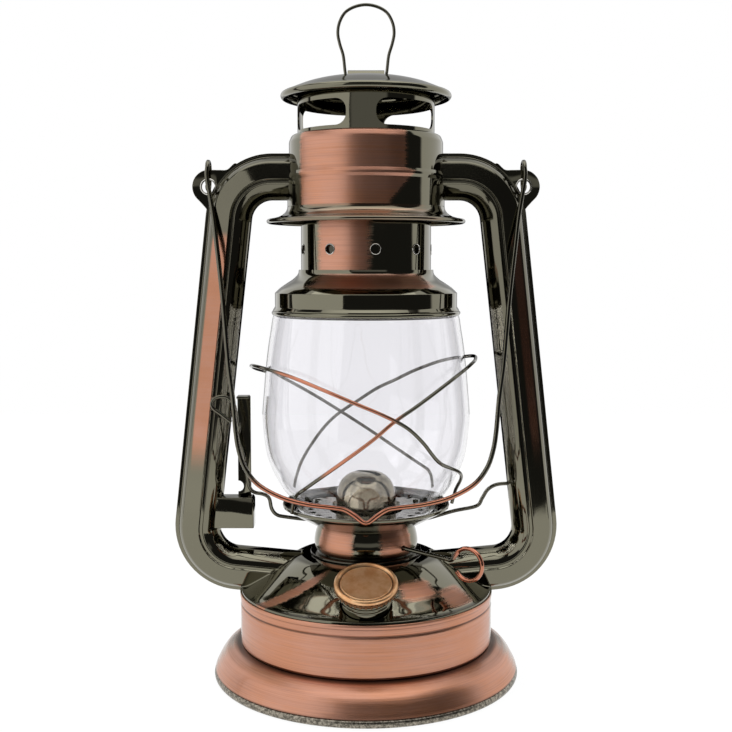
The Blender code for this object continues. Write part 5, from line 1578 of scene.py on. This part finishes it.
@dataclass
class Lift:
    """Strip, bracket and wire that raise the globe."""

    wire_r: float = 0.85
    under: float = 71.035
    top: float = 118.035
    lead: float = 12.2
    loop_half: float = 5.5
    loop_h: float = 11.6
    wing: float = 8.7
    tube_in: float = 9.6
    neck_r: float = 23.9
    neck_gap: float = 1.8
    dish_r: float = 38.5
    strip_x: Point = (-59.0, -53.0)
    strip_z: Point = (68.1, 128.5)

    @staticmethod
    def tube_x(height: float) -> float:
        """Distance of the side tubes' centre line from the axis at a height."""
        low, high = (SideTubes.foot_x, SideTubes.foot_z), (SideTubes.top_x, SideTubes.top_z)
        return lerp(low[0], high[0], (height - low[1]) / (high[1] - low[1]))

    def loop_points(self) -> list[Corner]:
        """Thumb loop in front of the left tube."""
        shares = ((0.6, 0.0), (-0.24, 0.32), (-0.87, 0.55), (-0.98, 0.75), (-0.73, 0.93), (-0.24, 1.0),
                  (0.24, 0.98), (0.62, 0.83), (0.87, 0.65), (0.96, 0.42), (1.09, 0.09), (1.25, -0.25))
        middle = self.tube_in * 0.8 - self.tube_x(self.top)
        return [(middle + self.loop_half * x, -self.lead, self.top + self.loop_h * z) for x, z in shares]

    def fall_points(self) -> list[Corner]:
        """Fall along the strip and in to the dish, from (x, share of the lead, share of the drop)."""
        strip, rim, wire = self.strip_x[1], self.dish_r + self.wire_r, self.wire_r
        fall = ((strip - 5.4, 0.62, 0.16), (strip - 3.3, 0.4, 0.33), (strip - 2.1, 0.23, 0.5),
                (strip - 0.9, 0.16, 0.655), (strip + wire * 1.5, 0.15, 0.72),
                (-rim - wire * 9.5, 0.14, 0.742), (-rim - wire * 6.3, 0.14, 0.78),
                (-rim - wire * 5, 0.1, 0.888), (-rim - wire * 2.5, 0.05, 0.95), (-rim + wire * 2, 0.0, 0.975))
        return [(x, -self.lead * lead, lerp(self.top, self.under, drop)) for x, lead, drop in fall]

    def bend_points(self, steps: int = 10) -> list[Corner]:
        """Half circle behind the burner."""
        bend = self.neck_r + self.neck_gap + self.wire_r
        angles = [math.pi * (1 - step / steps) for step in range(steps + 1)]
        return [(bend * math.cos(angle), bend * math.sin(angle), self.under) for angle in angles]

    def end_points(self) -> list[Corner]:
        """Rise from the dish's rim into the slot of the right tube."""
        shares = ((0.04, 0.23), (0.39, 0.37), (0.477, 0.59), (0.566, 0.84), (0.72, 0.98), (1.0, 1.0))
        rim = self.dish_r + self.wire_r
        guide = self.under + self.wing * 1.93
        end = self.tube_x(guide) - self.tube_in * 0.55
        return [(lerp(rim, end, along), 0.0, lerp(self.under, guide, rise)) for along, rise in shares]

    def wire_route(self) -> list[Vector]:
        """Thumb loop, fall along the strip, bend round the burner, end in the right tube."""
        points = self.loop_points() + self.fall_points() + self.bend_points() + self.end_points()
        return [p * MM for p in spline(points, 1.2)]

    def build(self, shop: Workshop) -> None:
        """Make the lift."""
        (left, right), (foot, head) = self.strip_x, self.strip_z
        strip = block("lift_strip_dressed", (left, -0.5, foot), (right, 0.5, head), 0.2)
        tab = block("strip_tab", (-58.7, -7.0, 128.0), (-53.3, 0.45, 129.0), 0.2)
        cut(strip, [tab], "UNION")
        ends = [Vector((left, y, 86.7)) * MM for y in (-2.0, 2.0)]
        cut(strip, [bar("strip_notch", *ends, 2.6, 40)])
        shop.fit(strip, Body.CARRIER, SMOOTH, Slot.GUNMETAL, ["lift_strip"])
        ring = [(-69.6, foot), (-51.5, foot), (-51.5, 81.0), (-52.2, 82.3), (-68.0, 82.3), (-69.4, 81.5)]
        body = extruded("lift_bracket_dressed", ring, 9.0, 0.35)
        moved(body, Matrix.Translation((0, -0.0015, 0)))
        cut(body, [block("strip_way", (-59.3, -0.8, 60.0), (-52.7, 0.8, 90.0)),
                   block("front_way", (-57.8, -4.8, 60.0), (-54.2, -0.7, 90.0))])
        shop.fit(body, Body.FRAME, SMOOTH, Slot.GUNMETAL, ["lift_bracket"])
        wire = shop.wire("lift_wire_dressed", self.wire_route(), self.wire_r)
        shop.fit(wire, Body.CARRIER, WIRE, Slot.GUNMETAL, ["lift_wire"])


@dataclass
class Bail:
    """Carrying wire with its two eyes."""

    wire_r: float = 1.05
    tilt: float = 13.603
    length: float = 155.2
    width: float = 138.8
    eye_w: float = 7.2
    eye_l: float = 12.6
    ear_x: float = 71.1
    axis_z: float = 228.425

    def route(self) -> list[Vector]:
        """Whole wire, from eye to eye."""
        tilt = math.radians(self.tilt)
        down = Vector((0, -math.sin(tilt), -math.cos(tilt)))
        front = Vector((0, -math.cos(tilt), math.sin(tilt)))
        half = self.eye_w / 2
        run = (self.eye_l - self.eye_w) / 2
        shares = ((0.982, 0.12), (0.955, 0.21), (0.912, 0.36), (0.866, 0.555), (0.834, 0.653), (0.812, 0.745),
                  (0.79, 0.80), (0.748, 0.85), (0.665, 0.895), (0.52, 0.93), (0.36, 0.949), (0.2, 0.958),
                  (0.13, 0.964), (0.07, 0.98), (0.0, 1.0))

        def place(x: float, fall: float, lead: float) -> Vector:
            """Point from its side, its fall along the bail and its lead in front."""
            return Vector((x, 0, self.axis_z)) + down * fall + front * lead

        def eye(side: int, sign: int, degrees: Sequence[float]) -> list[Vector]:
            """Half of an eye: below its middle for sign 1, above it for -1."""
            angles = [math.radians(d) for d in degrees]
            return [place(side * self.ear_x, sign * (run + half * math.sin(a)), half * math.cos(a))
                    for a in angles]

        eyes = [eye(side, 1, (50, 75, 100, 125, 150, 180)) + eye(side, -1, (180, 150, 120, 90, 60, 30, 0))
                for side in (-1, 1)]
        reach = self.width / 2
        bow_left = [place(-reach * x, self.length * fall, half) for x, fall in shares]
        bow_right = [place(reach * x, self.length * fall, half) for x, fall in shares[-2::-1]]
        legs = [place(side * self.ear_x, run, half) for side in (-1, 1)]
        whole = eyes[0] + [legs[0]] + bow_left + bow_right + [legs[1]] + eyes[1][::-1]
        return [p * MM for p in spline(whole, 1.1)]

    def build(self, shop: Workshop) -> None:
        """Make the bail."""
        wire = shop.wire("bail_dressed", self.route(), self.wire_r)
        shop.fit(wire, Body.BAIL, WIRE, Slot.GUNMETAL, ["bail"],
                 copper=lambda p: 1 - smoothstep(p.z, 90.0, 101.0))


@dataclass
class Studio:
    """Camera, floor, soft boxes and background."""

    lens: float = 55.01
    height: float = 0.188
    distance: float = 0.510
    pitch: float = 5.12

    def camera(self) -> None:
        """Camera at the photograph's view."""
        data = bpy.data.cameras.new("camera")
        data.sensor_width = 36.0
        data.lens = self.lens
        data.clip_start = 0.01
        obj = bpy.data.objects.new("camera", data)
        obj.location = (0, -self.distance, self.height)
        obj.rotation_euler = (math.radians(90 - self.pitch), 0, 0)
        bpy.context.scene.collection.objects.link(obj)
        bpy.context.scene.camera = obj

    @staticmethod
    def soft_box(name: str, azimuth_deg: float, elevation: float, distance: float, width: float,
                 height: float, level: float) -> None:
        """Rectangular soft box that faces the lantern.

        Args:
            name: the light's name.
            azimuth_deg: degrees from the front towards the right.
            elevation: degrees above the horizon.
            distance: metres from the lantern's middle.
            width: metres.
            height: metres.
            level: brightness of its face.
        """
        data = bpy.data.lights.new(name, "AREA")
        data.shape = "RECTANGLE"
        data.size = width
        data.size_y = height
        data.energy = level * math.pi * width * height
        obj = bpy.data.objects.new(name, data)
        a, e = math.radians(azimuth_deg), math.radians(elevation)
        out = Vector((math.sin(a) * math.cos(e), -math.cos(a) * math.cos(e), math.sin(e)))
        obj.location = Vector((0, 0, 0.13)) + out * distance
        obj.rotation_euler = out.to_track_quat("Z", "Y").to_euler()
        bpy.context.scene.collection.objects.link(obj)

    @staticmethod
    def panel(name: str, corners: Sequence[Corner], shader: Shader) -> bpy.types.Object:
        """Flat panel of the stage between four corners in metres."""
        mesh = bpy.data.meshes.new(name)
        mesh.from_pydata(corners, [], [(0, 1, 2, 3)])
        mesh.materials.append(shader.material)
        obj = link(name, mesh)
        return obj

    @staticmethod
    def floor() -> None:
        """Pale floor that shows the background's white and keeps a faint shadow."""
        across, front, back, under = 0.6, -0.36, 0.9, -0.0004
        corners = [(-across, front, under), (across, front, under), (across, back, under),
                   (-across, back, under)]
        shader = Shader("pale_floor")
        path = shader.add("ShaderNodeLightPath", output="Is Camera Ray")
        glossy = shader.add("ShaderNodeLightPath", output="Is Glossy Ray")
        through = shader.add("ShaderNodeLightPath", output="Is Transmission Ray")
        seen = (path + glossy * 0.9 + through).clamped()
        plain = shader.add("ShaderNodeBsdfDiffuse", {}, {"Color": (0.85, 0.85, 0.85, 1.0)})
        white = shader.add("ShaderNodeEmission", {}, {"Color": (1, 1, 1, 1), "Strength": 1.03})
        both = shader.add("ShaderNodeMixShader", {}, {0: seen * 0.93, 1: plain, 2: white})
        shader.add("ShaderNodeOutputMaterial", {}, {"Surface": both})
        Studio.panel("floor", corners, shader)

    @staticmethod
    def dark_card() -> None:
        """Black card behind the lantern that only reflections see."""
        half, behind, low, high = 0.055, 0.13, 0.05, 0.26
        corners = [(-half, behind, low), (half, behind, low), (half, behind, high), (-half, behind, high)]
        shader = Shader("dark_card")
        black = shader.add("ShaderNodeEmission", {}, {"Color": (0, 0, 0, 1), "Strength": 0.0})
        shader.add("ShaderNodeOutputMaterial", {}, {"Surface": black})
        obj = Studio.panel("dark_card", corners, shader)
        for ray in ("camera", "diffuse", "transmission", "shadow"):
            setattr(obj, f"visible_{ray}", False)

    @staticmethod
    def world() -> None:
        """White sides and rear, bright ceiling and a dim room in front."""
        world = bpy.data.worlds.new("studio")
        bpy.context.scene.world = world
        world.use_nodes = True
        tree = Tree(world.node_tree)
        way = tree.add("ShaderNodeTexCoord", output="Generated")
        x, y, up = (tree.add("ShaderNodeSeparateXYZ", {}, {0: way}, axis) for axis in "XYZ")
        turn = x.math("ARCTAN2", x, y * -1.0)
        sides = tree.ramp(turn, 1.50, 1.60) + (1.0 - tree.ramp(turn, -2.00, -1.90))
        rear = sides * (1.0 - tree.ramp(turn.math("ABSOLUTE", turn), 2.70, 2.86) * 0.6)
        glow = tree.ramp(up, 0.05, 0.09) * (1.0 - tree.ramp(up, 0.16, 0.24)) * tree.ramp(turn, -0.50, -0.38)
        glow = glow * (1.0 - tree.ramp(turn, 0.55, 0.66)) * 0.3
        ceiling = tree.ramp(up, 0.72, 0.92) * 0.85
        room = turn.math("MAXIMUM", rear * 0.95, ceiling) + glow + 0.035
        camera = tree.add("ShaderNodeLightPath", output="Is Camera Ray")
        through = tree.add("ShaderNodeLightPath", output="Is Transmission Ray")
        diffuse = tree.add("ShaderNodeLightPath", output="Is Diffuse Ray")
        strength = (camera + through + room + diffuse * 0.35).clamped()
        sky = tree.add("ShaderNodeBackground", {}, {"Color": (1, 1, 1, 1), "Strength": strength})
        tree.add("ShaderNodeOutputWorld", {}, {"Surface": sky})

    def build(self) -> None:
        """Set the studio up."""
        scene = bpy.context.scene
        scene.view_settings.view_transform = "Standard"
        self.camera()
        self.floor()
        self.dark_card()
        self.world()
        self.soft_box("left_box", -65.5, 12.0, 0.95, 1.46, 1.25, 1.05)
        self.soft_box("top_box", -4.0, 78.0, 1.0, 1.5, 1.1, 0.9)


def dress_small_nodes(nodes: dict[str, bpy.types.Object]) -> None:
    """Give the CAD nodes that stay their finish."""
    for name in ("burner_base", "wick_tube", "wick_wheel"):
        for slot in nodes[name].material_slots:
            slot.material = STEEL.material()


def main() -> None:
    """Load the frame, build every piece and note the sizes."""
    logging.basicConfig(level=logging.INFO, format="%(message)s")
    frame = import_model()
    Studio().build()
    shop = Workshop()
    fount = Fount()
    Base().build(shop)
    fount.build(shop)
    Filler().build(shop, fount.filler_frame())
    Burner().build(shop)
    GlobeCarrier().build(shop)
    SideTubes().build(shop, fount)
    Drum().build(shop)
    Chimney().build(shop)
    Lift().build(shop)
    Bail().build(shop)
    dress_small_nodes(frame["nodes"])
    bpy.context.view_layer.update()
    log.info("%d pieces", shop.count)


if __name__ == "__main__":
    main()
